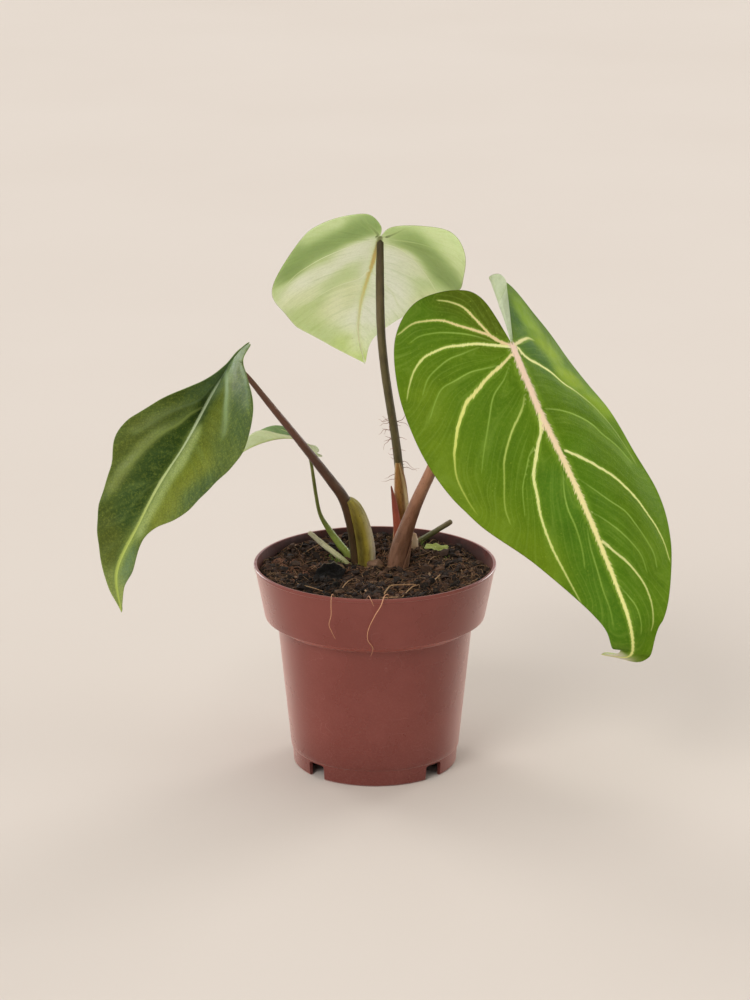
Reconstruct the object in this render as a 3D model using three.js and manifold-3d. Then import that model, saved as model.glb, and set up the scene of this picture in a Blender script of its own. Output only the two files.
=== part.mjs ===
// A young philodendron in a 12 cm nursery pot. Millimetres, +Z up, the viewer stands on the -Y side.
import * as THREE from 'three';
import { mergeVertices } from 'three/addons/utils/BufferGeometryUtils.js';
import manifoldModule from 'manifold-3d';

const manifoldTools = await manifoldModule();
manifoldTools.setup();
const { Manifold, Mesh: SolidMesh } = manifoldTools;

// Pot: the rim is 120 mm across, as on a standard 12 cm pot
const rimRadius = 60;
const potHeight = 103.3;
const lipHeight = 1.6;
const bandFootRadius = 54.7;
const bandFootHeight = 76.8;
const wallTopRadius = 48.3;
const wallTopHeight = 72.6;
const footRadius = 41;
const footHeight = 8.4;
const footStep = 0.6;
const potWall = 1.2;
const floorHeight = 8.2;
const notchWidth = 10.2;
const notchHeight = 7.6;
const notchAngles = [45, 135, 225, 315];
const drainRadius = 3.2;
const drainCircle = 24;
const drainCount = 8;
const potSides = 56;

// Soil: 6 mm below the rim, a little higher round the stems
const soilLevel = 96.4;
const soilMound = 1.8;
const soilRings = 11;
const soilSides = 48;
const seatGap = 0.3;
const stemDepth = 84;

// Blades
const bladeThickness = 0.8;
const smallBladeThickness = 0.6;

// A number or a list of numbers that runs smoothly through evenly spaced values, at t from 0 to 1
function along(values, t) {
  const last = values.length - 1;
  const place = Math.min(Math.max(t, 0), 1) * last;
  const k = Math.min(Math.floor(place), last - 1);
  const s = place - k;
  const slope = (j) => {
    if (j === 0) return values[1] - values[0];
    if (j === last) return values[last] - values[last - 1];
    return (values[j + 1] - values[j - 1]) / 2;
  };
  const square = s * s;
  const cube = square * s;
  const start = (2 * cube - 3 * square + 1) * values[k] + (cube - 2 * square + s) * slope(k);
  return start + (3 * square - 2 * cube) * values[k + 1] + (cube - square) * slope(k + 1);
}

function alongPoints(points, t) {
  return points[0].map((_, axis) => along(points.map((point) => point[axis]), t));
}

// Points, directions and lengths down a smooth line through a few places
function measureLine(places, pieces) {
  const points = [];
  for (let k = 0; k <= pieces; k += 1) {
    points.push(new THREE.Vector3(...alongPoints(places, k / pieces)));
  }
  const lengths = [0];
  for (let k = 1; k <= pieces; k += 1) {
    lengths.push(lengths[k - 1] + points[k].distanceTo(points[k - 1]));
  }
  return { points, lengths, total: lengths[pieces] };
}

function placeOnLine(line, distance) {
  const { points, lengths } = line;
  const last = points.length - 1;
  const held = Math.min(Math.max(distance, 0), line.total);
  let k = 0;
  while (k < last - 1 && lengths[k + 1] < held) k += 1;
  const share = (held - lengths[k]) / (lengths[k + 1] - lengths[k]);
  const before = points[Math.max(k - 1, 0)];
  const after = points[Math.min(k + 2, last)];
  return {
    point: points[k].clone().lerp(points[k + 1], share),
    direction: after.clone().sub(before).normalize(),
  };
}

// Blade: the midrib hangs along a line, and each half is bent across it.
// a runs down the midrib from the petiole (lobes have a below 0), b runs out from it, both in mm.
function bladeFrame(blade, a) {
  const { line, faces, turnOverFrom } = blade;
  const { point, direction } = placeOnLine(line, a);
  const sideDistance = Math.min(a, turnOverFrom * line.total);
  const steady = placeOnLine(line, sideDistance).direction;
  const side = new THREE.Vector3(...faces).cross(steady);
  side.addScaledVector(direction, -side.dot(direction)).normalize();
  const up = new THREE.Vector3().crossVectors(direction, side);
  const twist = THREE.MathUtils.degToRad(along(blade.twist, (a / line.total + 0.25) / 1.25));
  const sideTurned = side.clone().multiplyScalar(Math.cos(twist)).addScaledVector(up, Math.sin(twist));
  const upTurned = up.clone().multiplyScalar(Math.cos(twist)).addScaledVector(side, -Math.sin(twist));
  const back = Math.max(-a, 0);
  const lift = THREE.MathUtils.degToRad(blade.lobeLift) + 1e-9;
  point.addScaledVector(direction, -Math.sin(lift * back) / lift);
  point.addScaledVector(upTurned, (1 - Math.cos(lift * back)) / lift);
  upTurned.multiplyScalar(Math.cos(lift * back)).addScaledVector(direction, Math.sin(lift * back));
  return { point, side: sideTurned, up: upTurned };
}

function bendHalf(blade, half, a, b) {
  const { point, side, up } = bladeFrame(blade, a);
  const station = (a / blade.line.total + 0.25) / 1.25;
  const fold = THREE.MathUtils.degToRad(along(half.fold, station));
  const curve = THREE.MathUtils.degToRad(along(half.curve, station)) || 1e-6;
  const turned = fold + curve * b;
  point.addScaledVector(side, (half.sign * (Math.sin(turned) - Math.sin(fold))) / curve);
  point.addScaledVector(up, (Math.cos(fold) - Math.cos(turned)) / curve);
  const pleat = half.pleat ?? 0;
  if (pleat > 0 && a > 0) {
    const wave = Math.sin((2 * Math.PI * (a - half.pleatSlant * b)) / half.pleatPitch);
    const grown = Math.min(b / 12, 1) * Math.min((blade.line.total - a) / 30, 1);
    point.addScaledVector(up, pleat * wave * grown);
  }
  return point;
}

// The inner edge of a lobe may roll over towards the upper face, as a cone with its point at the petiole
function rollLobe(blade, half, a, b) {
  const roll = half.roll;
  const reach = Math.hypot(a, b);
  const angle = Math.atan2(b, -a);
  const edge = roll ? THREE.MathUtils.degToRad(roll.from) : 0;
  if (!roll || a >= 0 || reach < 1e-6 || angle >= edge) {
    return bendHalf(blade, half, a, b);
  }
  const radius = roll.radius * reach;
  const arc = (edge - angle) * reach;
  const turn = Math.min(arc / radius, THREE.MathUtils.degToRad(roll.turn));
  const flat = arc - turn * radius;
  const a0 = -reach * Math.cos(edge);
  const b0 = reach * Math.sin(edge);
  const start = bendHalf(blade, half, a0, b0);
  const out = bendHalf(blade, half, a0, b0 + 0.05).sub(start).normalize();
  const down = bendHalf(blade, half, a0 + 0.05, b0).sub(start).normalize();
  const up = down.clone().cross(out).multiplyScalar(half.sign).normalize();
  start.addScaledVector(out, -(radius * Math.sin(turn) + flat * Math.cos(turn)));
  return start.addScaledVector(up, radius * (1 - Math.cos(turn)) + flat * Math.sin(turn));
}

// Rows follow the side veins from midrib to margin, columns run round the blade
function bladeRow(blade, half, u, share) {
  const total = blade.line.total;
  const margin = u >= 1 ? [total, 0] : alongPoints(half.outline, u);
  const leave = Math.max((u - blade.veinsFan) / (1 - blade.veinsFan), 0);
  const start = total * leave ** blade.veinsSpread;
  const width = Math.abs(margin[1]);
  const ramp = Math.min(3 * u, 1);
  const bendA = (start + margin[0]) / 2 - 0.5 * blade.veinsSweep * ramp * width;
  const bendB = margin[1] / 2 + 0.12 * width * ramp;
  const rest = 1 - share;
  const a = rest * rest * start + 2 * share * rest * bendA + share * share * margin[0];
  const b = 2 * share * rest * bendB + share * share * margin[1];
  return rollLobe(blade, half, a, b);
}

// A list of corner places in which the same place is kept once
function cornerList() {
  const places = [];
  const known = new Map();
  const add = (point) => {
    const key = point.toArray().map((value) => Math.round(value * 500)).join(' ');
    if (!known.has(key)) {
      known.set(key, places.length);
      places.push(point.clone());
    }
    return known.get(key);
  };
  return { places, add };
}

function bladeSheet(blade) {
  const { places, add } = cornerList();
  const faces = [];
  for (const half of [blade.left, blade.right]) {
    const grid = [];
    for (let i = 0; i <= blade.rows; i += 1) {
      const row = [];
      for (let j = 0; j <= blade.columns; j += 1) {
        row.push(add(bladeRow(blade, half, i / blade.rows, j / blade.columns)));
      }
      grid.push(row);
    }
    for (let i = 0; i < blade.rows; i += 1) {
      for (let j = 0; j < blade.columns; j += 1) {
        const square = [grid[i][j], grid[i][j + 1], grid[i + 1][j + 1], grid[i + 1][j]];
        if (half.sign > 0) square.reverse();
        faces.push([square[0], square[1], square[2]], [square[0], square[2], square[3]]);
      }
    }
  }
  const kept = faces.filter(([p, q, r]) => p !== q && q !== r && r !== p);
  return { places, faces: kept };
}

// A sheet gets its thickness: both faces alike, and a strip round the edge
function thicken(sheet, thickness) {
  const { places, faces } = sheet;
  const normals = places.map(() => new THREE.Vector3());
  const facing = faces.map(([p, q, r]) => {
    const edge = places[q].clone().sub(places[p]);
    return edge.cross(places[r].clone().sub(places[p]));
  });
  faces.forEach((face, k) => face.forEach((corner) => normals[corner].add(facing[k])));
  normals.forEach((normal) => normal.normalize());
  const lean = places.map(() => 1);
  faces.forEach((face, k) => {
    const unit = facing[k].clone().normalize();
    face.forEach((corner) => {
      lean[corner] = Math.min(lean[corner], unit.dot(normals[corner]));
    });
  });
  const offsets = normals.map((normal, k) => {
    const stretch = 1 / Math.max(lean[k], 0.7);
    return normal.clone().multiplyScalar((thickness / 2) * stretch);
  });
  const corners = places.map((place, k) => place.clone().add(offsets[k]));
  places.forEach((place, k) => corners.push(place.clone().sub(offsets[k])));
  const below = places.length;
  const edges = new Set(faces.flatMap(([p, q, r]) => [`${p} ${q}`, `${q} ${r}`, `${r} ${p}`]));
  const triangles = [];
  for (const [p, q, r] of faces) {
    triangles.push(p, q, r, r + below, q + below, p + below);
    for (const [from, to] of [[p, q], [q, r], [r, p]]) {
      if (!edges.has(`${to} ${from}`)) {
        triangles.push(to, from, from + below, to, from + below, to + below);
      }
    }
  }
  return meshOf(corners, triangles);
}

function meshOf(corners, triangles) {
  const geometry = new THREE.BufferGeometry();
  const positions = corners.flatMap((corner) => corner.toArray());
  geometry.setAttribute('position', new THREE.Float32BufferAttribute(positions, 3));
  geometry.setIndex(triangles);
  return geometry;
}

function growBlade(blade, thickness) {
  const line = measureLine(blade.midrib, 240);
  const halves = {
    left: { ...blade.left, sign: -1 },
    right: { ...blade.right, sign: 1 },
  };
  return thicken(bladeSheet({ ...blade, ...halves, line }), thickness);
}

// Stems: a closed tube whose cross-section is given at each step by a list of (side, front) points
function tube(places, steps, sectionAt, from = 0, to = 1) {
  const corners = [];
  const triangles = [];
  const line = measureLine(places, 200);
  let front = new THREE.Vector3(0, -1, 0);
  let sides = 0;
  for (let k = 0; k <= steps; k += 1) {
    const t = from + ((to - from) * k) / steps;
    const { point, direction } = placeOnLine(line, t * line.total);
    if (k === 0 && Math.abs(direction.y) > 0.9) front.set(0, 0, 1);
    front.addScaledVector(direction, -front.dot(direction)).normalize();
    const side = new THREE.Vector3().crossVectors(direction, front);
    const section = sectionAt(t, k / steps);
    sides = section.length;
    for (const [x, y] of section) {
      corners.push(point.clone().addScaledVector(side, x).addScaledVector(front, y));
    }
  }
  for (let k = 0; k < steps; k += 1) {
    for (let j = 0; j < sides; j += 1) {
      const next = (j + 1) % sides;
      const low = k * sides;
      const high = low + sides;
      triangles.push(low + j, low + next, high + next, low + j, high + next, high + j);
    }
  }
  for (const end of [0, steps]) {
    const ring = corners.slice(end * sides, (end + 1) * sides);
    const flat = ring.map((corner) => {
      return new THREE.Vector2(corner.dot(endAxis(ring, 0)), corner.dot(endAxis(ring, 1)));
    });
    for (const [p, q, r] of THREE.ShapeUtils.triangulateShape(flat, [])) {
      const base = end * sides;
      triangles.push(...(end === 0 ? [base + r, base + q, base + p] : [base + p, base + q, base + r]));
    }
  }
  return faceOut(meshOf(corners, triangles));
}

function endAxis(ring, which) {
  const first = ring[1].clone().sub(ring[0]).normalize();
  if (which === 0) return first;
  const across = ring[Math.floor(ring.length / 2)].clone().sub(ring[0]);
  const normal = first.clone().cross(across).normalize();
  return normal.cross(first);
}

function roundSection(radius, sides, flatten, grow) {
  const section = [];
  for (let j = 0; j < sides; j += 1) {
    const angle = (2 * Math.PI * j) / sides;
    section.push([(radius + grow) * Math.cos(angle), (radius * flatten + grow) * Math.sin(angle)]);
  }
  return section;
}

function roundStem(stem, grow = 0) {
  const places = deepen(stem.path, grow);
  const sectionAt = (t) => roundSection(along(stem.radii, t), stem.sides, stem.flatten ?? 1, grow);
  return tube(places, stem.steps, sectionAt);
}

// The hole for a stem goes a little deeper than its foot
function deepen(path, grow) {
  const [foot, next] = [new THREE.Vector3(...path[0]), new THREE.Vector3(...path[1])];
  foot.addScaledVector(foot.clone().sub(next).normalize(), 1.2 * grow);
  return [foot.toArray(), ...path.slice(1)];
}

// A leaf sheath lies round part of its petiole, thick in its middle and thin at its edges
function sheathSection(sheath, stem, t, share, grow) {
  const inner = grow > 0 ? 0.4 : along(stem.radii, t) + seatGap + 0.08;
  const outer = along(stem.radii, t) + seatGap + 0.08 + grow;
  const half = THREE.MathUtils.degToRad(along(sheath.halfAngle, share)) + grow / outer;
  const centre = THREE.MathUtils.degToRad(sheath.faces);
  const bulge = along(sheath.bulge, share);
  const section = [];
  const pieces = 8;
  for (let j = 0; j <= pieces; j += 1) {
    const angle = centre - half + (2 * half * j) / pieces;
    const radius = outer + sheath.edge + bulge * Math.sin((Math.PI * j) / pieces);
    section.push([radius * Math.cos(angle), radius * Math.sin(angle)]);
  }
  for (let j = pieces; j >= 0; j -= 1) {
    const angle = centre - half + (2 * half * j) / pieces;
    section.push([inner * Math.cos(angle), inner * Math.sin(angle)]);
  }
  return section;
}

function wrapSheath(sheath, stem, grow = 0) {
  const places = deepen(stem.path, grow);
  const sectionAt = (t, share) => sheathSection(sheath, stem, t, share, grow);
  return tube(places, sheath.steps, sectionAt, 0, sheath.upTo);
}

// Closed solids, and joining and cutting them
function faceOut(geometry) {
  const position = geometry.getAttribute('position');
  const index = geometry.getIndex().array;
  const [p, q, r] = [new THREE.Vector3(), new THREE.Vector3(), new THREE.Vector3()];
  let volume = 0;
  for (let k = 0; k < index.length; k += 3) {
    p.fromBufferAttribute(position, index[k]);
    q.fromBufferAttribute(position, index[k + 1]);
    r.fromBufferAttribute(position, index[k + 2]);
    volume += p.dot(q.cross(r));
  }
  if (volume < 0) {
    geometry.setIndex(Array.from(index).reverse());
  }
  return geometry;
}

function solidOf(geometry) {
  const bare = new THREE.BufferGeometry();
  bare.setAttribute('position', geometry.getAttribute('position'));
  bare.setIndex(geometry.getIndex());
  const welded = mergeVertices(bare, 1e-4);
  const index = welded.getIndex().array;
  const kept = [];
  for (let k = 0; k < index.length; k += 3) {
    const [p, q, r] = [index[k], index[k + 1], index[k + 2]];
    if (p !== q && q !== r && r !== p) kept.push(p, q, r);
  }
  const closed = faceOut(meshOfIndex(welded.getAttribute('position'), kept));
  return new Manifold(new SolidMesh({
    numProp: 3,
    vertProperties: new Float32Array(closed.getAttribute('position').array),
    triVerts: new Uint32Array(closed.getIndex().array),
  }));
}

function meshOfIndex(position, index) {
  const geometry = new THREE.BufferGeometry();
  geometry.setAttribute('position', position);
  geometry.setIndex(index);
  return geometry;
}

function geometryOf(solid) {
  const mesh = solid.getMesh();
  const geometry = new THREE.BufferGeometry();
  geometry.setAttribute('position', new THREE.Float32BufferAttribute(mesh.vertProperties, 3));
  geometry.setIndex(Array.from(mesh.triVerts));
  return geometry;
}

function revolve(profile, sides) {
  const points = profile.map(([radius, height]) => new THREE.Vector2(radius, height));
  return new THREE.LatheGeometry(points, sides).rotateX(Math.PI / 2);
}

// Pot
const potOutside = [
  [0, floorHeight],
  [footRadius - potWall - footStep, floorHeight],
  [footRadius - potWall - footStep - 0.4, 0],
  [footRadius - 0.9, 0],
  [footRadius - 0.2, 0.7],
  [footRadius + 0.3, footHeight],
  [footRadius + 0.3 + footStep, footHeight + 0.5],
  [wallTopRadius, wallTopHeight],
  [bandFootRadius - 0.9, bandFootHeight - 0.9],
  [bandFootRadius, bandFootHeight + 0.3],
  [rimRadius - 0.5, potHeight - lipHeight],
  [rimRadius, potHeight - lipHeight + 0.5],
  [rimRadius - 0.1, potHeight - 0.3],
  [rimRadius - 0.5, potHeight],
];
const potInside = [
  [rimRadius - 1.2, potHeight],
  [rimRadius - 1.6, potHeight - 0.4],
  [bandFootRadius - potWall, bandFootHeight + 0.6],
  [wallTopRadius - potWall, wallTopHeight + 1.1],
  [footRadius + footStep - potWall, floorHeight + potWall + 1.5],
  [footRadius + footStep - potWall - 1.2, floorHeight + potWall],
  [0, floorHeight + potWall],
];

function makePot() {
  let pot = solidOf(revolve([...potOutside, ...potInside], potSides));
  for (const angle of notchAngles) {
    const notch = new THREE.BoxGeometry(24, notchWidth, 2 * notchHeight);
    notch.translate(footRadius + 2, 0, 0).rotateZ(THREE.MathUtils.degToRad(angle));
    pot = pot.subtract(solidOf(notch));
  }
  for (let k = 0; k < drainCount; k += 1) {
    const drain = new THREE.CylinderGeometry(drainRadius, drainRadius, 6, 12).rotateX(Math.PI / 2);
    drain.translate(drainCircle, 0, floorHeight).rotateZ((2 * Math.PI * (k + 0.5)) / drainCount);
    pot = pot.subtract(solidOf(drain));
  }
  return geometryOf(pot);
}

// Soil surface: a low mound with lumps and hollows, then crumbs of about a millimetre
function soilHeight(x, y) {
  const mound = soilMound * Math.exp(-((x - 3) ** 2 + (y - 14) ** 2) / 900);
  const swell = 0.7 * Math.sin(0.11 * x + 1.3) * Math.cos(0.13 * y - 0.4);
  const lumps = 0.6 * Math.sin(0.31 * x + 0.27 * y) + 0.45 * Math.cos(0.43 * y - 0.21 * x + 0.8);
  return soilLevel + mound + swell + lumps;
}

function makeSoil(pockets) {
  const wallGap = potWall + seatGap + 0.1;
  const low = floorHeight + potWall + seatGap;
  const topRadius = rimRadius - 4;
  const outline = [
    [0, low],
    [footRadius + footStep - wallGap - 1.7, low],
    [footRadius + footStep - wallGap, low + 1.8],
    [wallTopRadius - wallGap, wallTopHeight + 1.6],
    [bandFootRadius - wallGap, bandFootHeight + 1.2],
    [topRadius, soilLevel],
  ];
  for (let k = 1; k <= soilRings; k += 1) {
    outline.push([topRadius * (1 - k / soilRings), soilLevel]);
  }
  const geometry = revolve(outline, soilSides);
  const position = geometry.getAttribute('position');
  let seed = 7;
  const crumbs = new Map();
  for (let k = 0; k < position.count; k += 1) {
    const [x, y, z] = [position.getX(k), position.getY(k), position.getZ(k)];
    if (z < soilLevel - 0.01) continue;
    const key = `${Math.round(x * 10)} ${Math.round(y * 10)}`;
    if (!crumbs.has(key)) {
      seed = (seed * 16807) % 2147483647;
      crumbs.set(key, 1.3 * (seed / 2147483647 - 0.5));
    }
    position.setZ(k, soilHeight(x, y) + crumbs.get(key));
  }
  const pocketSolids = pockets.map((pocket) => solidOf(pocket));
  return geometryOf(solidOf(geometry).subtract(Manifold.union(pocketSolids)));
}

// Large leaf on the right, its upper face to the viewer
const bladeRight = {
  midrib: [
    [66, -18, 218], [79.5, -34, 188.5], [91.5, -45, 165.5], [104, -57, 138.5],
    [117, -67, 107], [122, -71, 90.5], [121.5, -66, 77], [108.5, -58, 75],
  ],
  faces: [0.15, -0.85, 0.5],
  turnOverFrom: 0.9,
  lobeLift: 0,
  twist: [0, 0, 0, 0, 0, 0],
  veinsFan: 0.38,
  veinsSpread: 1.6,
  veinsSweep: 0.5,
  rows: 42,
  columns: 7,
  left: {
    fold: [-4, -4, -4, -6, -10, -10],
    curve: [-0.35, -0.35, -0.35, -0.35, -0.35, -0.35],
    outline: [
      [0, 0], [-27, 5], [-36, 17], [-37, 36], [-25, 51], [-3, 59], [19, 61],
      [42, 59], [73, 50], [103, 32], [139, 14], [160, 11], [172, 5], [180, 0],
    ],
  },
  right: {
    fold: [-38, -37, -22, -20, -14, -8],
    curve: [-0.45, -0.45, -0.42, -0.4, -0.4, -0.4],
    roll: { from: 8, radius: 0.09, turn: 165 },
    outline: [
      [0, 0], [-12, -3], [-26, -8], [-33, -5], [-36, 2], [-33, 18], [-18, 33], [0, 48],
      [29, 47], [62, 47], [90, 52], [117, 43], [150, 18], [168, 6], [180, 0],
    ],
  },
};

// Young leaf on the left, still folded along its midrib and pleated
const bladeLeft = {
  midrib: [
    [-69.5, -6, 207], [-79, -13, 192], [-92, -21, 169], [-103.5, -28, 152.5],
    [-113.5, -34, 134], [-124.5, -39, 111.5], [-122.5, -44, 91.5],
  ],
  faces: [-0.25, -0.85, 0.42],
  turnOverFrom: 0.97,
  lobeLift: 0,
  twist: [0, 0, 0, 0, 0, 0],
  veinsFan: 0.3,
  veinsSpread: 1.5,
  veinsSweep: 0.5,
  rows: 40,
  columns: 6,
  left: {
    fold: [78, 74, 56, 38, 30, 24],
    curve: [-0.1, -0.2, -0.4, -0.6, -0.6, -0.5],
    pleat: 0.7,
    pleatPitch: 17,
    pleatSlant: 0.9,
    outline: [
      [0, 0], [-5, 0], [-11, -3], [-13, -5], [-6, 0], [4, 3], [15, 9],
      [34, 25], [58, 32], [73, 25], [96, 20], [116, 7], [127, 3], [136, 0],
    ],
  },
  right: {
    fold: [52, 50, 44, 38, 36, 30],
    curve: [-0.1, -0.2, -0.4, -0.5, -0.6, -0.6],
    pleat: 0.7,
    pleatPitch: 17,
    pleatSlant: 0.9,
    outline: [
      [0, 0], [-4, 3], [-9, 7], [-10, 12], [-2, 13], [7, 27], [19, 43],
      [37, 45], [56, 36], [77, 27], [93, 10], [113, 12], [125, 5], [136, 0],
    ],
  },
};

// Top leaf: it points away from the viewer, who sees its pale underside
const bladeBack = {
  midrib: [
    [2.5, 6, 266], [-0.5, 28, 252], [-4.5, 50, 234.5],
    [-7.5, 68, 217.5], [-8.5, 82, 199.5], [-5, 92, 180.5],
  ],
  faces: [-0.1, 0.45, 0.88],
  turnOverFrom: 1,
  lobeLift: 0.8,
  twist: [14, 7, 2, 0, 0, 0],
  veinsFan: 0.4,
  veinsSpread: 1.5,
  veinsSweep: 0.5,
  rows: 40,
  columns: 6,
  left: {
    fold: [-14, -12, -12, -12, -10, -10],
    curve: [-0.6, -0.7, -0.7, -0.7, -0.5, -0.4],
    outline: [
      [0, 0], [-13, 4], [-24, 18], [-31, 34], [-24, 44], [-5, 46],
      [18, 46], [44, 40], [70, 30], [91, 18], [109, 6], [124, 0],
    ],
  },
  right: {
    fold: [-18, -18, -16, -14, -10, -10],
    curve: [-0.2, -0.25, -0.3, -0.35, -0.4, -0.4],
    outline: [
      [0, 0], [-12, 1], [-23, 8], [-25, 19], [-23, 33], [-17, 43],
      [3, 56], [26, 56], [54, 46], [82, 34], [104, 17], [124, 0],
    ],
  },
};

// Smallest leaf, half hidden behind the left one
const bladeSmall = {
  midrib: [
    [-33, 16, 157], [-37, 18, 160.5], [-44, 21, 161.5],
    [-53, 25, 159], [-62.5, 29, 154], [-71, 32, 148],
  ],
  faces: [0.15, 0.05, 1],
  turnOverFrom: 1,
  lobeLift: 6,
  twist: [0, 0, 0, 0, 0, 0],
  veinsFan: 0.45,
  veinsSpread: 1.3,
  veinsSweep: 0.5,
  rows: 24,
  columns: 4,
  left: {
    fold: [-20, -15, 0, 35, 45, 45],
    curve: [-2, -2, -1, -1, -1, -1],
    outline: [[0, 0], [-2, 2], [-2, 5], [3, 8], [12, 11], [22, 12], [32, 9], [40, 4], [46, 0]],
  },
  right: {
    fold: [45, 30, 22, 40, 45, 45],
    curve: [0, 0, -1, -1, -1, -1],
    outline: [[0, 0], [-4, 1], [-7, 4], [-5, 8], [3, 10], [14, 11], [26, 9], [37, 4], [46, 0]],
  },
};

// Petioles stand upright in the soil and then lean to their blades
const petioleLeft = {
  path: [
    [-9, 20, stemDepth], [-9, 20, 97], [-10, 18, 109], [-12, 14, 121], [-15.5, 11, 132.5],
    [-22, 8, 143], [-32.5, 5, 158], [-43, 2, 172.5], [-53, 0, 186], [-61.5, -1.5, 197.5],
    [-69, -4.6, 206.5],
  ],
  radii: [3, 3.3, 3.2, 3, 2.6, 2.3, 2, 1.8, 1.6, 1.3, 1],
  steps: 24,
  sides: 12,
};
const petioleBack = {
  path: [
    [13, 30, stemDepth], [13, 30, 98], [13.5, 28, 116], [13, 25, 133], [11.5, 21, 149.5], [9.5, 17, 166],
    [7, 13, 182.5], [4.5, 9, 201.5], [3, 6, 219.5], [2.5, 4, 240], [2.5, 3.2, 254], [2.6, 3.6, 264.8],
  ],
  radii: [2.6, 2.6, 2.4, 2.3, 2.2, 2.1, 2.1, 2.1, 2.1, 2.1, 2, 1.5],
  steps: 28,
  sides: 12,
};
const petioleRight = {
  path: [
    [11, 12, stemDepth], [11, 12, 97], [13, 10.5, 108.5], [17, 7, 122.5], [21.5, 3, 135.5],
    [27, 1, 148.5], [36.5, -3, 171.5], [52, -8, 195.5], [65.4, -16.6, 216.4],
  ],
  radii: [5.2, 5, 4.5, 3.5, 2.9, 2.5, 2.3, 2.1, 1.3],
  steps: 24,
  sides: 14,
};
const stemSmall = {
  path: [
    [-13.5, 28, stemDepth], [-13.5, 28, 96.5], [-18, 29.7, 103], [-23, 31, 110], [-27.5, 30, 118.5],
    [-29.5, 28, 129], [-30.5, 25, 137.5], [-31.5, 21, 146.5], [-32.8, 16.8, 155],
  ],
  radii: [1.9, 2, 1.9, 1.5, 1, 0.9, 0.9, 0.8, 0.7],
  steps: 24,
  sides: 10,
};

// Leaf sheaths: direction round the petiole (0 is +X, 90 the viewer), spread and thickness from foot to tip
const sheathLeft = {
  faces: 14,
  halfAngle: [62, 66, 66, 60, 50, 34],
  bulge: [3.2, 4.2, 4.8, 4, 2, 0.2],
  edge: 0.7,
  upTo: 0.31,
  steps: 12,
};
const sheathBack = {
  faces: 90,
  halfAngle: [115, 120, 115, 105, 80, 30],
  bulge: [0.8, 0.9, 0.8, 0.6, 0.4, 0.1],
  edge: 0.65,
  upTo: 0.35,
  steps: 12,
};

// Small shoots and cut stubs round the foot of the plant
const budScale = {
  path: [
    [12, 20.6, stemDepth], [12, 20.6, 100], [11.6, 20.4, 110],
    [10.6, 19.8, 120], [9.4, 19.2, 129], [8, 18.6, 137],
  ],
  radii: [2, 2, 1.8, 1.5, 1, 0.3],
  flatten: 0.55,
  steps: 12,
  sides: 8,
};
const stubLeft = {
  path: [[-13.4, 17.6, 92.5], [-19, 22, 97.4], [-26.5, 28, 102.8], [-33.5, 34, 108]],
  radii: [1.2, 1.3, 1.3, 1.2],
  steps: 8,
  sides: 10,
};
const stubRight = {
  path: [[10.4, 45.5, 91.5], [18, 44, 97.2], [28.5, 42, 104.6], [39, 40, 112]],
  radii: [1.1, 1.1, 1.1, 1.2],
  steps: 8,
  sides: 10,
};
const creamScale = {
  path: [[19, 38.4, 93], [19, 38.4, 98], [19.6, 38.4, 102.4], [21.2, 38.4, 106.4]],
  radii: [2, 2.1, 1.7, 0.4],
  flatten: 0.45,
  steps: 8,
  sides: 8,
};
const rhizome = {
  path: [[-3.4, 12.5, 97.6], [-0.8, 11.4, 98.2], [2.2, 10.6, 97.8], [4.2, 9.4, 96.6]],
  radii: [1.6, 2.7, 2.6, 1.2],
  steps: 8,
  sides: 10,
};

// Thin roots that hang over the rim in front
const rootOne = {
  path: [
    [-19.5, -40, 97.8], [-19.4, -48, 99.6], [-20.2, -55, 104.5], [-20.8, -59, 104.6], [-21, -60.5, 101],
    [-21, -59.6, 95.5], [-22, -58.8, 90.5], [-20.5, -57.8, 86], [-19, -56.8, 82.5],
  ],
  radii: [0.35, 0.42, 0.42, 0.42, 0.42, 0.4, 0.38, 0.35, 0.3],
  steps: 22,
  sides: 5,
};
const rootTwo = {
  path: [
    [-6, -44, 96.9], [-4.5, -51, 99.6], [-3.2, -56.5, 104.1],
    [-2.4, -60.2, 104.5], [-1.4, -61.3, 102.6], [-0.6, -61.2, 100.6],
  ],
  radii: [0.4, 0.5, 0.5, 0.5, 0.45, 0.35],
  steps: 14,
  sides: 5,
};
const rootThree = {
  path: [
    [6.5, -42, 98], [6.6, -50, 100.6], [6.2, -56.5, 105], [4.4, -60.4, 105.2], [2.8, -62, 101],
    [-0.2, -61.2, 95.5], [-3.2, -59.2, 88], [-3.4, -57.2, 82], [-1, -55.4, 77.4], [-2, -54.6, 73],
  ],
  radii: [0.4, 0.46, 0.46, 0.46, 0.46, 0.45, 0.42, 0.4, 0.36, 0.3],
  steps: 24,
  sides: 5,
};

// Scraps that lie on the soil: a thin sheet with one edge curled up, in a hollow of its own
const leafScrap = {
  at: [29, 37.5, 97.6],
  outline: [[-6, -1], [-3, -4], [2, -5], [6, -2], [6.5, 2], [3, 5], [-2, 5.5], [-5, 3]],
  curl: 2,
  thickness: 0.8,
};
const darkScale = {
  at: [-26, -3, 97.2],
  outline: [[-9, -4], [-5, -8], [1, -9], [7, -7], [11, -2], [10, 4], [5, 8], [-2, 8], [-8, 4]],
  curl: 3,
  thickness: 1,
};

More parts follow.
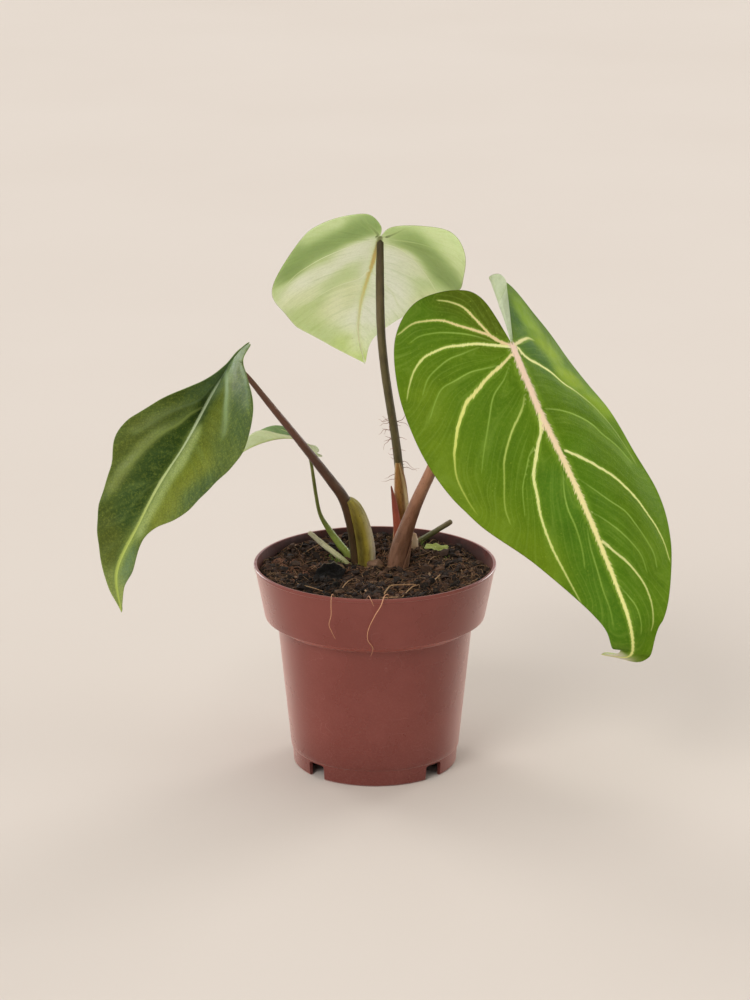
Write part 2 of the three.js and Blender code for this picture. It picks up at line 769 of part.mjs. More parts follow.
function makeScrap(scrap) {
  const { places, add } = cornerList();
  const faces = [];
  const [x, y, z] = scrap.at;
  const sides = scrap.outline.length;
  const rings = 3;
  const placeAt = (ring, j) => {
    const share = ring / rings;
    const [dx, dy] = scrap.outline[j % sides];
    const lift = scrap.curl * share * share * Math.max(dy / Math.hypot(dx, dy), 0);
    return add(new THREE.Vector3(x + dx * share, y + dy * share, z + lift));
  };
  for (let ring = 0; ring < rings; ring += 1) {
    for (let j = 0; j < sides; j += 1) {
      const [p, q] = [placeAt(ring, j), placeAt(ring, j + 1)];
      const [r, t] = [placeAt(ring + 1, j + 1), placeAt(ring + 1, j)];
      if (ring > 0) faces.push([p, r, q]);
      faces.push([p, t, r]);
    }
  }
  return thicken({ places, faces }, scrap.thickness);
}

function scrapHollow(scrap) {
  const [x, y, z] = scrap.at;
  const points = scrap.outline.map(([dx, dy]) => {
    const grown = 1 + 0.7 / Math.hypot(dx, dy);
    return new THREE.Vector2(x + dx * grown, y + dy * grown);
  });
  const hollow = new THREE.ExtrudeGeometry(new THREE.Shape(points), { depth: 20, bevelEnabled: false });
  return hollow.translate(0, 0, z - scrap.thickness / 2 - seatGap);
}

// The rhizome lies in an open hollow between the two thick petioles
function rhizomeHollow() {
  const hollow = new THREE.CylinderGeometry(5.2, 4.4, 12, 16).rotateX(Math.PI / 2).scale(1.25, 0.85, 1);
  return hollow.rotateZ(-0.35).translate(0.6, 11.2, 100.8);
}

// Colours are the albedo seen in the photograph, roughness from how sharp its highlights are
const finishes = {
  pot: { color: 0x7d4038, roughness: 0.42 },
  soil: { color: 0x33241a, roughness: 0.95 },
  blade_right: { color: 0x4f7a1e, roughness: 0.5 },
  blade_left: { color: 0x4a5f2c, roughness: 0.45 },
  blade_back: { color: 0xa9bb7c, roughness: 0.55 },
  blade_small: { color: 0xb5c48a, roughness: 0.55 },
  petiole_left: { color: 0x5c3a2b, roughness: 0.5 },
  petiole_back: { color: 0x5e4a2c, roughness: 0.5 },
  petiole_right: { color: 0x8e5f48, roughness: 0.5 },
  stem_small: { color: 0x6f7a35, roughness: 0.5 },
  sheath_left: { color: 0x7c7028, roughness: 0.45 },
  sheath_back: { color: 0xa06a3a, roughness: 0.5 },
  bud_scale: { color: 0x8c3f2e, roughness: 0.5 },
  cream_scale: { color: 0xd9c7a0, roughness: 0.7 },
  stub_left: { color: 0xa9a57c, roughness: 0.7 },
  stub_right: { color: 0x4f6a2b, roughness: 0.6 },
  rhizome: { color: 0x8a684c, roughness: 0.8 },
  leaf_scrap: { color: 0x86a23c, roughness: 0.6 },
  dark_scale: { color: 0x1d1713, roughness: 0.7 },
  root_one: { color: 0xb5793f, roughness: 0.7 },
  root_two: { color: 0xb5793f, roughness: 0.7 },
  root_three: { color: 0xb5793f, roughness: 0.7 },
};

function makePieces() {
  const pockets = [
    roundStem(petioleLeft, seatGap), roundStem(petioleBack, seatGap),
    roundStem(petioleRight, seatGap), roundStem(stemSmall, seatGap),
    wrapSheath(sheathLeft, petioleLeft, seatGap), wrapSheath(sheathBack, petioleBack, seatGap),
    roundStem(budScale, seatGap), roundStem(stubLeft, seatGap), roundStem(stubRight, seatGap),
    roundStem(creamScale, seatGap), scrapHollow(leafScrap), scrapHollow(darkScale), rhizomeHollow(),
  ];
  return {
    pot: makePot(),
    soil: makeSoil(pockets),
    rhizome: roundStem(rhizome),
    petiole_left: roundStem(petioleLeft),
    sheath_left: wrapSheath(sheathLeft, petioleLeft),
    blade_left: growBlade(bladeLeft, bladeThickness),
    petiole_back: roundStem(petioleBack),
    sheath_back: wrapSheath(sheathBack, petioleBack),
    blade_back: growBlade(bladeBack, bladeThickness),
    petiole_right: roundStem(petioleRight),
    blade_right: growBlade(bladeRight, bladeThickness),
    stem_small: roundStem(stemSmall),
    blade_small: growBlade(bladeSmall, smallBladeThickness),
    bud_scale: roundStem(budScale),
    cream_scale: roundStem(creamScale),
    stub_left: roundStem(stubLeft),
    stub_right: roundStem(stubRight),
    leaf_scrap: makeScrap(leafScrap),
    dark_scale: makeScrap(darkScale),
    root_one: roundStem(rootOne),
    root_two: roundStem(rootTwo),
    root_three: roundStem(rootThree),
  };
}

// The origin is under the middle of the whole plant
function assemble() {
  const group = new THREE.Group();
  group.name = 'potted_philodendron';
  for (const [name, geometry] of Object.entries(makePieces())) {
    const material = new THREE.MeshStandardMaterial({ ...finishes[name], metalness: 0 });
    material.name = name;
    const mesh = new THREE.Mesh(geometry, material);
    mesh.name = name;
    group.add(mesh);
  }
  const middle = new THREE.Box3().setFromObject(group).getCenter(new THREE.Vector3());
  group.children.forEach((mesh) => mesh.geometry.translate(-middle.x, -middle.y, 0));
  return group;
}

export default assemble();
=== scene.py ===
from math import cos, pi, radians, sin

import bpy
import numpy as np
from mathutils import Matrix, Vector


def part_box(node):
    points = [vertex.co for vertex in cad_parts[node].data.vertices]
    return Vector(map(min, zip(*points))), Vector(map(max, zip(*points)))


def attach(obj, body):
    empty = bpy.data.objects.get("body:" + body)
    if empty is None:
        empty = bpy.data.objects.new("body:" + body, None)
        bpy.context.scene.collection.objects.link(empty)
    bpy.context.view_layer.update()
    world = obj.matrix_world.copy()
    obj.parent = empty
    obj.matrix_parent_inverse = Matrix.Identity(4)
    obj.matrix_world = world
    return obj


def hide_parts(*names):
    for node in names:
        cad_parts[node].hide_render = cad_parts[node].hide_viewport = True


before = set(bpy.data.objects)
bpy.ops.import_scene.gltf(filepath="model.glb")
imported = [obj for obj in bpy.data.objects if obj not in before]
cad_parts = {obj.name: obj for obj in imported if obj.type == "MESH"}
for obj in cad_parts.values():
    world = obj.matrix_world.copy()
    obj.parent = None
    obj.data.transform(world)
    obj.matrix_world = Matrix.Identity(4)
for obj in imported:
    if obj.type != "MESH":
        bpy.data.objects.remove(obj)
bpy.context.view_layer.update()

# Places are in millimetres from the middle of the pot's foot, as in the part's source
mm = 0.001
potLow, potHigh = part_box("pot")
potAxis = np.array([(potLow.x + potHigh.x) / 2, (potLow.y + potHigh.y) / 2, 0.0])
print("the frame is loaded")


# Numbers and curves
def toLinear(colours):
    # screen colours, 0 to 255, as the linear colours that shaders take
    value = np.clip(np.asarray(colours, float) / 255, 0, 1)
    return np.where(value <= 0.04045, value / 12.92, ((value + 0.055) / 1.055) ** 2.4)


def tone(red, green, blue):
    return (*(float(part) for part in toLinear([red, green, blue])), 1.0)


def unit(vectors):
    return vectors / np.maximum(np.linalg.norm(vectors, axis=-1, keepdims=True), 1e-9)


def smoothRun(values, t):
    # a cubic through evenly spaced values: its slope at each is half the step between its neighbours
    values = np.asarray(values, float)
    last = len(values) - 1
    place = np.clip(np.asarray(t, float), 0, 1) * last
    k = np.minimum(place.astype(int), last - 1)
    s = place - k
    slopes = np.gradient(values, axis=0)
    if values.ndim > 1:
        s = s[..., None]
    square, cube = s * s, s * s * s
    start = (2 * cube - 3 * square + 1) * values[k] + (cube - 2 * square + s) * slopes[k]
    return start + (3 * square - 2 * cube) * values[k + 1] + (cube - square) * slopes[k + 1]


def smoothStep(values, start, end):
    s = np.clip((values - start) / (end - start), 0, 1)
    return s * s * (3 - 2 * s)


def measureLine(places, pieces=600):
    # short straight pieces along the smooth line through the places, with the length passed at each
    points = smoothRun(places, np.linspace(0, 1, pieces + 1))
    steps = np.linalg.norm(np.diff(points, axis=0), axis=1)
    lengths = np.concatenate([[0], np.cumsum(steps)])
    return {"points": points, "lengths": lengths, "total": lengths[-1],
            "ways": unit(np.gradient(points, axis=0))}


def onLine(line, distance):
    # the point and the direction at a distance down a measured line
    held = np.clip(distance, 0, line["total"])
    point = np.stack([np.interp(held, line["lengths"], line["points"][:, i]) for i in range(3)], -1)
    way = np.stack([np.interp(held, line["lengths"], line["ways"][:, i]) for i in range(3)], -1)
    return point, unit(way)


def softNoise(x, y, pitch, seed):
    # random heights on a square lattice of that pitch, blended smoothly between its corners, -1 to 1
    size, away = 97, 1000  # the lattice repeats after size squares, and away keeps their numbers above 0
    table = np.random.default_rng(seed).uniform(-1, 1, (size, size))
    u, v = np.asarray(x) / pitch + away, np.asarray(y) / pitch + away
    i, j = np.floor(u).astype(int), np.floor(v).astype(int)
    s, t = u - i, v - j
    s, t = s * s * (3 - 2 * s), t * t * (3 - 2 * t)
    low = table[i % size, j % size] * (1 - s) + table[(i + 1) % size, j % size] * s
    high = table[i % size, (j + 1) % size] * (1 - s) + table[(i + 1) % size, (j + 1) % size] * s
    return low * (1 - t) + high * t


# Meshes
def gridFaces(rows, columns, first=0, closed=False):
    # two triangles for each square of a grid of corners; closed joins the last column to the first
    count = columns if closed else columns - 1
    i, j = np.meshgrid(np.arange(rows - 1), np.arange(count), indexing="ij")
    near, far = first + i * columns + j, first + i * columns + (j + 1) % columns
    corners = [near, far, far + columns, near, far + columns, near + columns]
    return np.stack([corner.ravel() for corner in corners], -1).reshape(-1, 3)


def weld(places, faces, size=0.002):
    # corners within size of one place become one, and faces that lose a corner go
    keys = np.round(places / size).astype(np.int64)
    _, kept, known = np.unique(keys, axis=0, return_index=True, return_inverse=True)
    faces = known.ravel()[faces]
    whole = (faces != np.roll(faces, 1, axis=1)).all(axis=1)
    return kept, known.ravel(), faces[whole]


def faceOut(places, faces):
    # a closed surface faces outwards when the tetrahedra from the origin to its faces add up to more than 0
    p, q, r = (places[faces[:, corner]] for corner in range(3))
    return faces if np.sum(p * np.cross(q, r)) > 0 else faces[:, ::-1]


def plainMesh(name, places, faces):
    mesh = bpy.data.meshes.new(name)
    mesh.from_pydata(places, [], faces, shade_flat=False)
    return mesh


def addObject(name, data):
    thing = bpy.data.objects.new(name, data)
    bpy.context.scene.collection.objects.link(thing)
    return thing


def makePiece(name, places, faces, material, nodes=(), values=None, sharpFrom=None):
    mesh = plainMesh(name, potAxis + mm * places, faceOut(places, faces))
    for label, data in (values or {}).items():
        data = np.asarray(data, np.float32)
        if data.ndim == 1:
            mesh.attributes.new(label, "FLOAT", "POINT").data.foreach_set("value", data)
        elif label.endswith("Space"):
            mesh.attributes.new(label, "FLOAT_VECTOR", "POINT").data.foreach_set("vector", data.ravel())
        else:
            paint = np.ones((len(data), 4), np.float32)
            paint[:, :3] = toLinear(data)
            mesh.attributes.new(label, "FLOAT_COLOR", "POINT").data.foreach_set("color", paint.ravel())
    mesh.materials.append(material)
    if sharpFrom:
        mesh.set_sharp_from_angle(angle=radians(sharpFrom))
    piece = addObject(name, mesh)
    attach(piece, "root")
    if nodes:
        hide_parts(*nodes)
    print(name, len(mesh.polygons), "faces")
    return piece


# Shader nodes
def add(tree, kind, inputs=None, **settings):
    node = tree.nodes.new(kind)
    for label, value in settings.items():
        setattr(node, label, value)
    for label, value in (inputs or {}).items():
        if isinstance(value, bpy.types.NodeSocket):
            tree.links.new(value, node.inputs[label])
        else:
            node.inputs[label].default_value = value
    return node


def treeOf(*values):
    # the node tree that holds the sockets among the values
    return next(value for value in values if isinstance(value, bpy.types.NodeSocket)).id_data


def calc(how, first, second=0.0):
    return add(treeOf(first, second), "ShaderNodeMath", {0: first, 1: second}, operation=how).outputs[0]


def times(first, second):
    return calc("MULTIPLY", first, second)


def plus(total, *parts):
    for part in parts:
        total = calc("ADD", total, part)
    return total


def fade(value, start, end, low=0.0, high=1.0):
    # low up to start and high from end on, with a smooth step between
    inputs = {"Value": value, "From Min": start, "From Max": end, "To Min": low, "To Max": high}
    return add(treeOf(value), "ShaderNodeMapRange", inputs, interpolation_type="SMOOTHSTEP").outputs[0]


def blend(factor, first, second, how="MIX"):
    inputs = {0: factor, 6: first, 7: second}
    return add(treeOf(factor), "ShaderNodeMix", inputs, data_type="RGBA", blend_type=how).outputs[2]


def freeNoise(place, scale, detail, rough=0.5, **more):
    inputs = {"Vector": place, "Scale": scale, "Detail": detail, "Roughness": rough, **more}
    return add(treeOf(place), "ShaderNodeTexNoise", inputs).outputs["Fac"]


def noise(place, size, detail=3.0, rough=0.5):
    # size is that of the noise's features, in millimetres
    return freeNoise(place, 1 / (mm * size), detail, rough)


def read(tree, label, output="Fac"):
    return add(tree, "ShaderNodeAttribute", attribute_name=label).outputs[output]


def objectPlace(tree):
    return add(tree, "ShaderNodeTexCoord").outputs["Object"]


def newMaterial(name, **constants):
    material = bpy.data.materials.new(name)
    material.use_nodes = True
    tree = material.node_tree
    shader = tree.nodes["Principled BSDF"]
    for label, value in constants.items():
        shader.inputs[label.replace("_", " ")].default_value = value
    return material, tree, shader


def finish(tree, shader, colour, roughness, height, depth, strength=1.0):
    # depth is how far the bump's height of 1 stands out, in millimetres
    tree.links.new(colour, shader.inputs["Base Color"])
    tree.links.new(roughness, shader.inputs["Roughness"])
    bump = add(tree, "ShaderNodeBump", {"Strength": strength, "Distance": mm * depth, "Height": height})
    tree.links.new(bump.outputs[0], shader.inputs["Normal"])


def linearLook(look):
    return {label: tone(*value) if isinstance(value, tuple) else value for label, value in look.items()}


def newGroup(name, inputs, outputs):
    # an input is a number, a colour or, where its value is None, a vector
    group = bpy.data.node_groups.new(name, "ShaderNodeTree")
    kinds = {float: "NodeSocketFloat", tuple: "NodeSocketColor", type(None): "NodeSocketVector"}
    for label, value in inputs.items():
        socket = group.interface.new_socket(label, in_out="INPUT", socket_type=kinds[type(value)])
        if value is not None:
            socket.default_value = value
    for label in outputs:
        kind = "NodeSocketColor" if label == "colour" else "NodeSocketFloat"
        group.interface.new_socket(label, in_out="OUTPUT", socket_type=kind)
    given = group.nodes.new("NodeGroupInput").outputs
    return group, given, group.nodes.new("NodeGroupOutput").inputs


def putOut(tree, out, **values):
    for label, value in values.items():
        tree.links.new(value, out[label])
    return tree


def useGroup(tree, group, inputs):
    return add(tree, "ShaderNodeGroup", inputs, node_tree=group).outputs


def makeSpeckles():
    # small round spots at scattered places, more of them where amount is higher
    tree, given, out = newGroup("speckles", {"place": None, "size": 0.6, "amount": 0.5}, ["spots"])
    scale = calc("DIVIDE", 400.0, given["size"])
    cells = add(tree, "ShaderNodeTexVoronoi", {"Vector": given["place"], "Scale": scale}).outputs
    bright = add(tree, "ShaderNodeSeparateColor", {0: cells["Color"]}).outputs[0]
    chosen = calc("LESS_THAN", bright, given["amount"])
    return putOut(tree, out, spots=times(fade(cells["Distance"], 0.16, 0.4, 1.0, 0.0), chosen))


def makeGrime():
    # soft clouds of dust with finer grains in them, and thin scratches where a noise passes its middle
    tree, given, out = newGroup("grime", {"place": None, "cloudSize": 18.0}, ["cloud", "grain", "scratch"])
    place = given["place"]
    cloud = freeNoise(place, calc("DIVIDE", 1000.0, given["cloudSize"]), 5.0, 0.6)
    wave = freeNoise(place, 46.0, 1.0, Distortion=1.4)
    thin = fade(calc("ABSOLUTE", calc("SUBTRACT", wave, 0.5)), 0.0, 0.0035, 1.0, 0.0)
    sparse = fade(noise(place, 22, 2.0), 0.52, 0.62)
    return putOut(tree, out, cloud=fade(cloud, 0.35, 0.7), grain=noise(place, 0.7, 2.0, 0.6),
                  scratch=times(thin, sparse))


# Leaf tissue. The look that a leaf starts from: strengths, sizes in millimetres and screen colours
leafLook = {
    "fray": 0.35, "haloReach": 2.8, "haloStrength": 0.25, "haloTint": (190, 204, 140),
    "lineStrength": 0.16, "threadStrength": 0.06, "lineTint": (150, 172, 96), "stripes": 0.24,
    "netSize": 1.4, "netStrength": 0.07, "netTint": (150, 172, 100),
    "spotSize": 0.5, "spotAmount": 0.05, "spotStrength": 0.3, "spotTint": (150, 140, 80), "mottle": 0.12,
    "cloudy": 0.25, "darker": (205, 212, 180), "lighter": (26, 28, 18),
    "marginWide": 0.1, "marginStrength": 0.75, "marginTint": (104, 84, 52), "roughFrom": 0.5, "roughTo": 0.62,
}


def makeLeafTissue():
    grey = tone(128, 128, 128)
    tree, given, out = newGroup("leafTissue", {
        "place": None, "barbSpace": None, "tint": grey, "veinPaint": grey, "veinNear": 1.0, "veinPower": 0.0,
        "flow": 0.0, "reach": 0.5, "rim": 1.0, "upperFace": 1.0, **linearLook(leafLook),
    }, ["colour", "roughness", "height"])
    place = given["place"]
    # veins: near is the distance over the half-width, and noise stretched along the barbs frays it
    barbs = fade(freeNoise(given["barbSpace"], 1.0, 2.0, 0.6), 0.45, 0.68)
    fray = times(barbs, times(given["fray"], given["veinPower"]))
    frayed = calc("SUBTRACT", calc("ABSOLUTE", given["veinNear"]), fray)
    veins = times(fade(frayed, 0.35, 1.1, 1.0, 0.0), given["veinPower"])
    halo = times(fade(frayed, 0.6, given["haloReach"], 1.0, 0.0), given["veinPower"])
    # lines, and four times as many threads, where the flow passes a half, here and there fainter
    phase = plus(given["flow"], times(noise(place, 30, 1.0), 0.5))
    broken = fade(noise(place, 16, 2.0), 0.3, 0.6, 0.25, 1.0)
    inner = times(broken, fade(given["reach"], 0.03, 0.16))
    fine = []
    for strength, rate, wide in (("lineStrength", 1.0, 0.13), ("threadStrength", 4.0, 0.3)):
        part = calc("FRACT", times(phase, rate))
        off = calc("ABSOLUTE", calc("SUBTRACT", part, 0.5))
        line = times(fade(off, 0.0, wide, 1.0, 0.0), inner)
        fine.append(times(line, given[strength]))
    lines = plus(*fine)
    netScale = calc("DIVIDE", 1000.0, given["netSize"])
    cells = add(tree, "ShaderNodeTexVoronoi", {"Vector": place, "Scale": netScale},
                feature="DISTANCE_TO_EDGE").outputs
    net = fade(cells["Distance"], 0.0, 0.14, 1.0, 0.0)
    # tissue: clouds, clusters of spots, mottling
    cloud = noise(place, 11, 4.0, 0.6)
    dark = fade(cloud, 0.42, 0.72, 0.0, given["cloudy"])
    colour = blend(dark, given["tint"], given["darker"], "MULTIPLY")
    light = fade(cloud, 0.5, 0.25, 0.0, given["cloudy"])
    colour = blend(light, colour, given["lighter"], "SCREEN")
    clusters = fade(noise(place, 9), 0.4, 0.62, times(given["spotStrength"], 0.15), given["spotStrength"])
    dots = useGroup(tree, speckles, {"place": place, "size": given["spotSize"],
                                     "amount": given["spotAmount"]})
    colour = blend(times(dots["spots"], clusters), colour, given["spotTint"])
    mottle = fade(noise(place, 1.3, 3.0, 0.65), 0.45, 0.7, 0.0, given["mottle"])
    colour = blend(mottle, colour, given["spotTint"])
    # stripes of lighter and darker tissue that run with the side veins
    along = add(tree, "ShaderNodeCombineXYZ", {0: times(given["flow"], 0.001),
                                               1: times(given["reach"], 0.0012)}).outputs[0]
    stripe = noise(along, 0.8, 4.0, 0.65)
    colour = blend(fade(stripe, 0.5, 0.7, 0.0, given["stripes"]), colour, given["lineTint"])
    dark = fade(stripe, 0.5, 0.32, 0.0, given["stripes"])
    colour = blend(dark, colour, given["darker"], "MULTIPLY")
    # what lies on the tissue: net, lines, halo and veins, then the dry margin
    colour = blend(times(net, given["netStrength"]), colour, given["netTint"])
    colour = blend(lines, colour, given["lineTint"])
    colour = blend(times(halo, given["haloStrength"]), colour, given["haloTint"])
    colour = blend(veins, colour, given["veinPaint"])
    rim = plus(given["rim"], times(noise(place, 5, 2.0), 0.5))
    margin = fade(rim, given["marginWide"], plus(given["marginWide"], 0.55), 1.0, 0.0)
    colour = blend(times(margin, given["marginStrength"]), colour, given["marginTint"])
    # the lower face is a little rougher
    rough = fade(noise(place, 2.4), 0.3, 0.7, given["roughFrom"], given["roughTo"])
    rough = plus(rough, fade(given["upperFace"], 0.02, 0.1, 0.12, 0.0))
    height = plus(times(net, -0.35), times(noise(place, 0.8, 3.0, 0.6), 0.5),
                  times(lines, -0.9), times(veins, 0.5))
    return putOut(tree, out, colour=colour, roughness=rough, height=height)


# Stem skin. The look that a stem starts from
stemLook = {
    "streak": 0.35, "streakTint": (150, 100, 72), "coarse": 1.6, "fibre": 0.3, "fibreTint": (70, 42, 30),
    "spots": 0.12, "spotTint": (60, 38, 28), "edgeTint": (210, 200, 160), "roughFrom": 0.36, "roughTo": 0.55,
}


def makeStemSkin():
    # streaks and fibres: noise on a place whose length runs slowly and whose turn runs fast
    tree, given, out = newGroup("stemSkin", {
        "place": None, "stemSpace": None, "tint": tone(128, 128, 128), "thinEdge": 0.0,
        **linearLook(stemLook),
    }, ["colour", "roughness", "height"])
    place = given["place"]
    streak = fade(freeNoise(given["stemSpace"], given["coarse"], 3.0, 0.6), 0.32, 0.68)
    fibre = fade(freeNoise(given["stemSpace"], 6.0, 3.0, 0.6), 0.32, 0.68)
    colour = blend(times(streak, given["streak"]), given["tint"], given["streakTint"])
    colour = blend(times(fibre, given["fibre"]), colour, given["fibreTint"])
    cloud = fade(noise(place, 7), 0.4, 0.75, 0.0, 0.35)
    colour = blend(cloud, colour, tone(150, 140, 130), "MULTIPLY")
    dots = useGroup(tree, speckles, {"place": place, "size": 0.45, "amount": given["spots"]})
    colour = blend(times(dots["spots"], 0.5), colour, given["spotTint"])
    colour = blend(fade(given["thinEdge"], 0.0, 1.0), colour, given["edgeTint"])
    rough = fade(noise(place, 1.6), 0.3, 0.7, given["roughFrom"], given["roughTo"])
    height = plus(times(fibre, 0.6), times(noise(place, 0.5, 3.0, 0.6), 0.4))
    return putOut(tree, out, colour=colour, roughness=rough, height=height)


speckles = makeSpeckles()
grime = makeGrime()
leafTissue = makeLeafTissue()
stemSkin = makeStemSkin()
print("the shader groups are made")


# Blades: the midrib hangs along a line, and each half is bent across it.
# a runs down the midrib from the petiole (lobes have a below 0), b runs out from it, both in mm.
# what a blade has where its own settings say nothing else
bladeShape = {"thickness": 0.6, "turnOverFrom": 1, "lobeLift": 0, "twist": [0, 0], "veinsSweep": 0.5,
              "veinWide": [0.42, 0.34], "flowVeins": 0}


def alongBlade(blade, a):
    # 0 where the lobes end, a quarter of the midrib's length behind the petiole, and 1 at the tip
    behind = 0.25
    return (a / blade["line"]["total"] + behind) / (1 + behind)


def bladeFrame(blade, a):
    # side is square to the midrib and to the way the blade faces, and up to both; then twist turns them
    line = blade["line"]
    point, way = onLine(line, a)
    steady = onLine(line, np.minimum(a, blade["turnOverFrom"] * line["total"]))[1]
    side = np.cross(np.asarray(blade["faces"], float), steady)
    side = unit(side - way * np.sum(side * way, axis=-1, keepdims=True))
    up = np.cross(way, side)
    twist = np.radians(smoothRun(blade["twist"], alongBlade(blade, a)))[..., None]
    side, up = side * np.cos(twist) + up * np.sin(twist), up * np.cos(twist) - side * np.sin(twist)
    back = np.maximum(-a, 0)[..., None]
    lift = radians(blade["lobeLift"]) + 1e-9  # never 0, as it divides
    point = point - way * np.sin(lift * back) / lift + up * (1 - np.cos(lift * back)) / lift
    return point, side, up * np.cos(lift * back) + way * np.sin(lift * back)


def bendHalf(blade, half, a, b):
    # out along an arc that starts at the fold and turns by curve for each millimetre, with pleats across it
    point, side, up = bladeFrame(blade, a)
    station = alongBlade(blade, a)
    fold = np.radians(smoothRun(half["fold"], station))[..., None]
    curve = np.radians(smoothRun(half["curve"], station))[..., None]
    curve = np.where(np.abs(curve) < 1e-6, 1e-6, curve)
    turned = fold + curve * b[..., None]
    point = point + side * half["sign"] * (np.sin(turned) - np.sin(fold)) / curve
    point = point + up * (np.cos(fold) - np.cos(turned)) / curve
    if half.get("pleat"):
        wave = np.sin(2 * pi * (a - half["pleatSlant"] * b) / half["pleatPitch"])
        left = blade["line"]["total"] - a
        grown = np.minimum(b / 12, 1) * np.minimum(left / 30, 1) * (a > 0)  # from 0 at the midrib and tip
        point = point + up * (half["pleat"] * wave * grown)[..., None]
    return point


def rollLobe(blade, half, a, b):
    # past its edge line the lobe runs round a cone that has its point at the petiole
    flat = bendHalf(blade, half, a, b)
    if "roll" not in half:
        return flat
    roll, small = half["roll"], 0.05
    reach = np.hypot(a, b)
    edge = radians(roll["from"])
    angle = np.arctan2(b, -a)
    radius = np.maximum(roll["radius"] * reach * (reach / roll["full"]) ** 0.8, 1e-6)
    arc = np.maximum(edge - angle, 0) * reach
    turn = np.minimum(arc / radius, radians(roll["turn"]))
    rest = arc - turn * radius
    a0, b0 = -reach * cos(edge), reach * sin(edge)
    start = bendHalf(blade, half, a0, b0)
    out = unit(bendHalf(blade, half, a0, b0 + small) - start)
    down = unit(bendHalf(blade, half, a0 + small, b0) - start)
    up = unit(np.cross(down, out) * half["sign"])
    rolled = start - out * (radius * np.sin(turn) + rest * np.cos(turn))[..., None]
    rolled = rolled + up * (radius * (1 - np.cos(turn)) + rest * np.sin(turn))[..., None]
    inside = (a < 0) & (reach > 1e-6) & (angle < edge)
    return np.where(inside[..., None], rolled, flat)


def bladeGrid(blade, half, rows, shares):
    # rows follow the side veins: point = rest^2 * start + 2 * share * rest * bend + share^2 * margin
    total = blade["line"]["total"]
    u, share = np.meshgrid(rows, shares, indexing="ij")
    margin = smoothRun(half["outline"], u)
    margin[-1] = (total, 0)
    leave = np.maximum((u - blade["veinsFan"]) / (1 - blade["veinsFan"]), 0)
    start = total * leave ** blade["veinsSpread"]
    width = np.abs(margin[..., 1])
    ramp = np.minimum(3 * u, 1)
    bendA = (start + margin[..., 0]) / 2 - 0.5 * blade["veinsSweep"] * ramp * width
    bendB = margin[..., 1] / 2 + 0.12 * width * ramp
    rest = 1 - share
    a = rest * rest * start + 2 * share * rest * bendA + share * share * margin[..., 0]
    b = 2 * share * rest * bendB + share * share * margin[..., 1]
    rim = np.hypot(a - margin[..., 0], b - margin[..., 1])
    return {"a": a, "b": b, "row": u, "reach": share, "rim": rim}


def nearRun(run, a, b):
    # distance to a smooth line through a few places, below 0 on one side, and the share of the line passed
    line = smoothRun(run, np.linspace(0, 1, 12 * len(run)))
    ways = unit(np.gradient(line, axis=0))
    gaps = np.hypot(a[:, None] - line[None, :, 0], b[:, None] - line[None, :, 1])
    nearest = np.argmin(gaps, axis=1)
    offA, offB = a - line[nearest, 0], b - line[nearest, 1]
    across = ways[nearest, 0] * offB - ways[nearest, 1] * offA
    ends = (nearest == 0) | (nearest == len(line) - 1)
    gap = np.where(ends, np.copysign(np.hypot(offA, offB), across), across)
    return gap, nearest / (len(line) - 1)


def paintPatches(a, b, base, patches):
    # each patch's colour counts by a bell curve of the distance to it, and the base counts as 1
    total = np.ones(len(a))
    colour = np.tile(np.asarray(base, float), (len(a), 1))
    for run, radius, strength, paint in patches:
        gap = nearRun(np.asarray(run, float), a, b)[0]
        weight = strength * np.exp(-((gap / radius) ** 2))
        colour += weight[:, None] * np.asarray(paint, float)
        total += weight
    return colour / total[:, None]


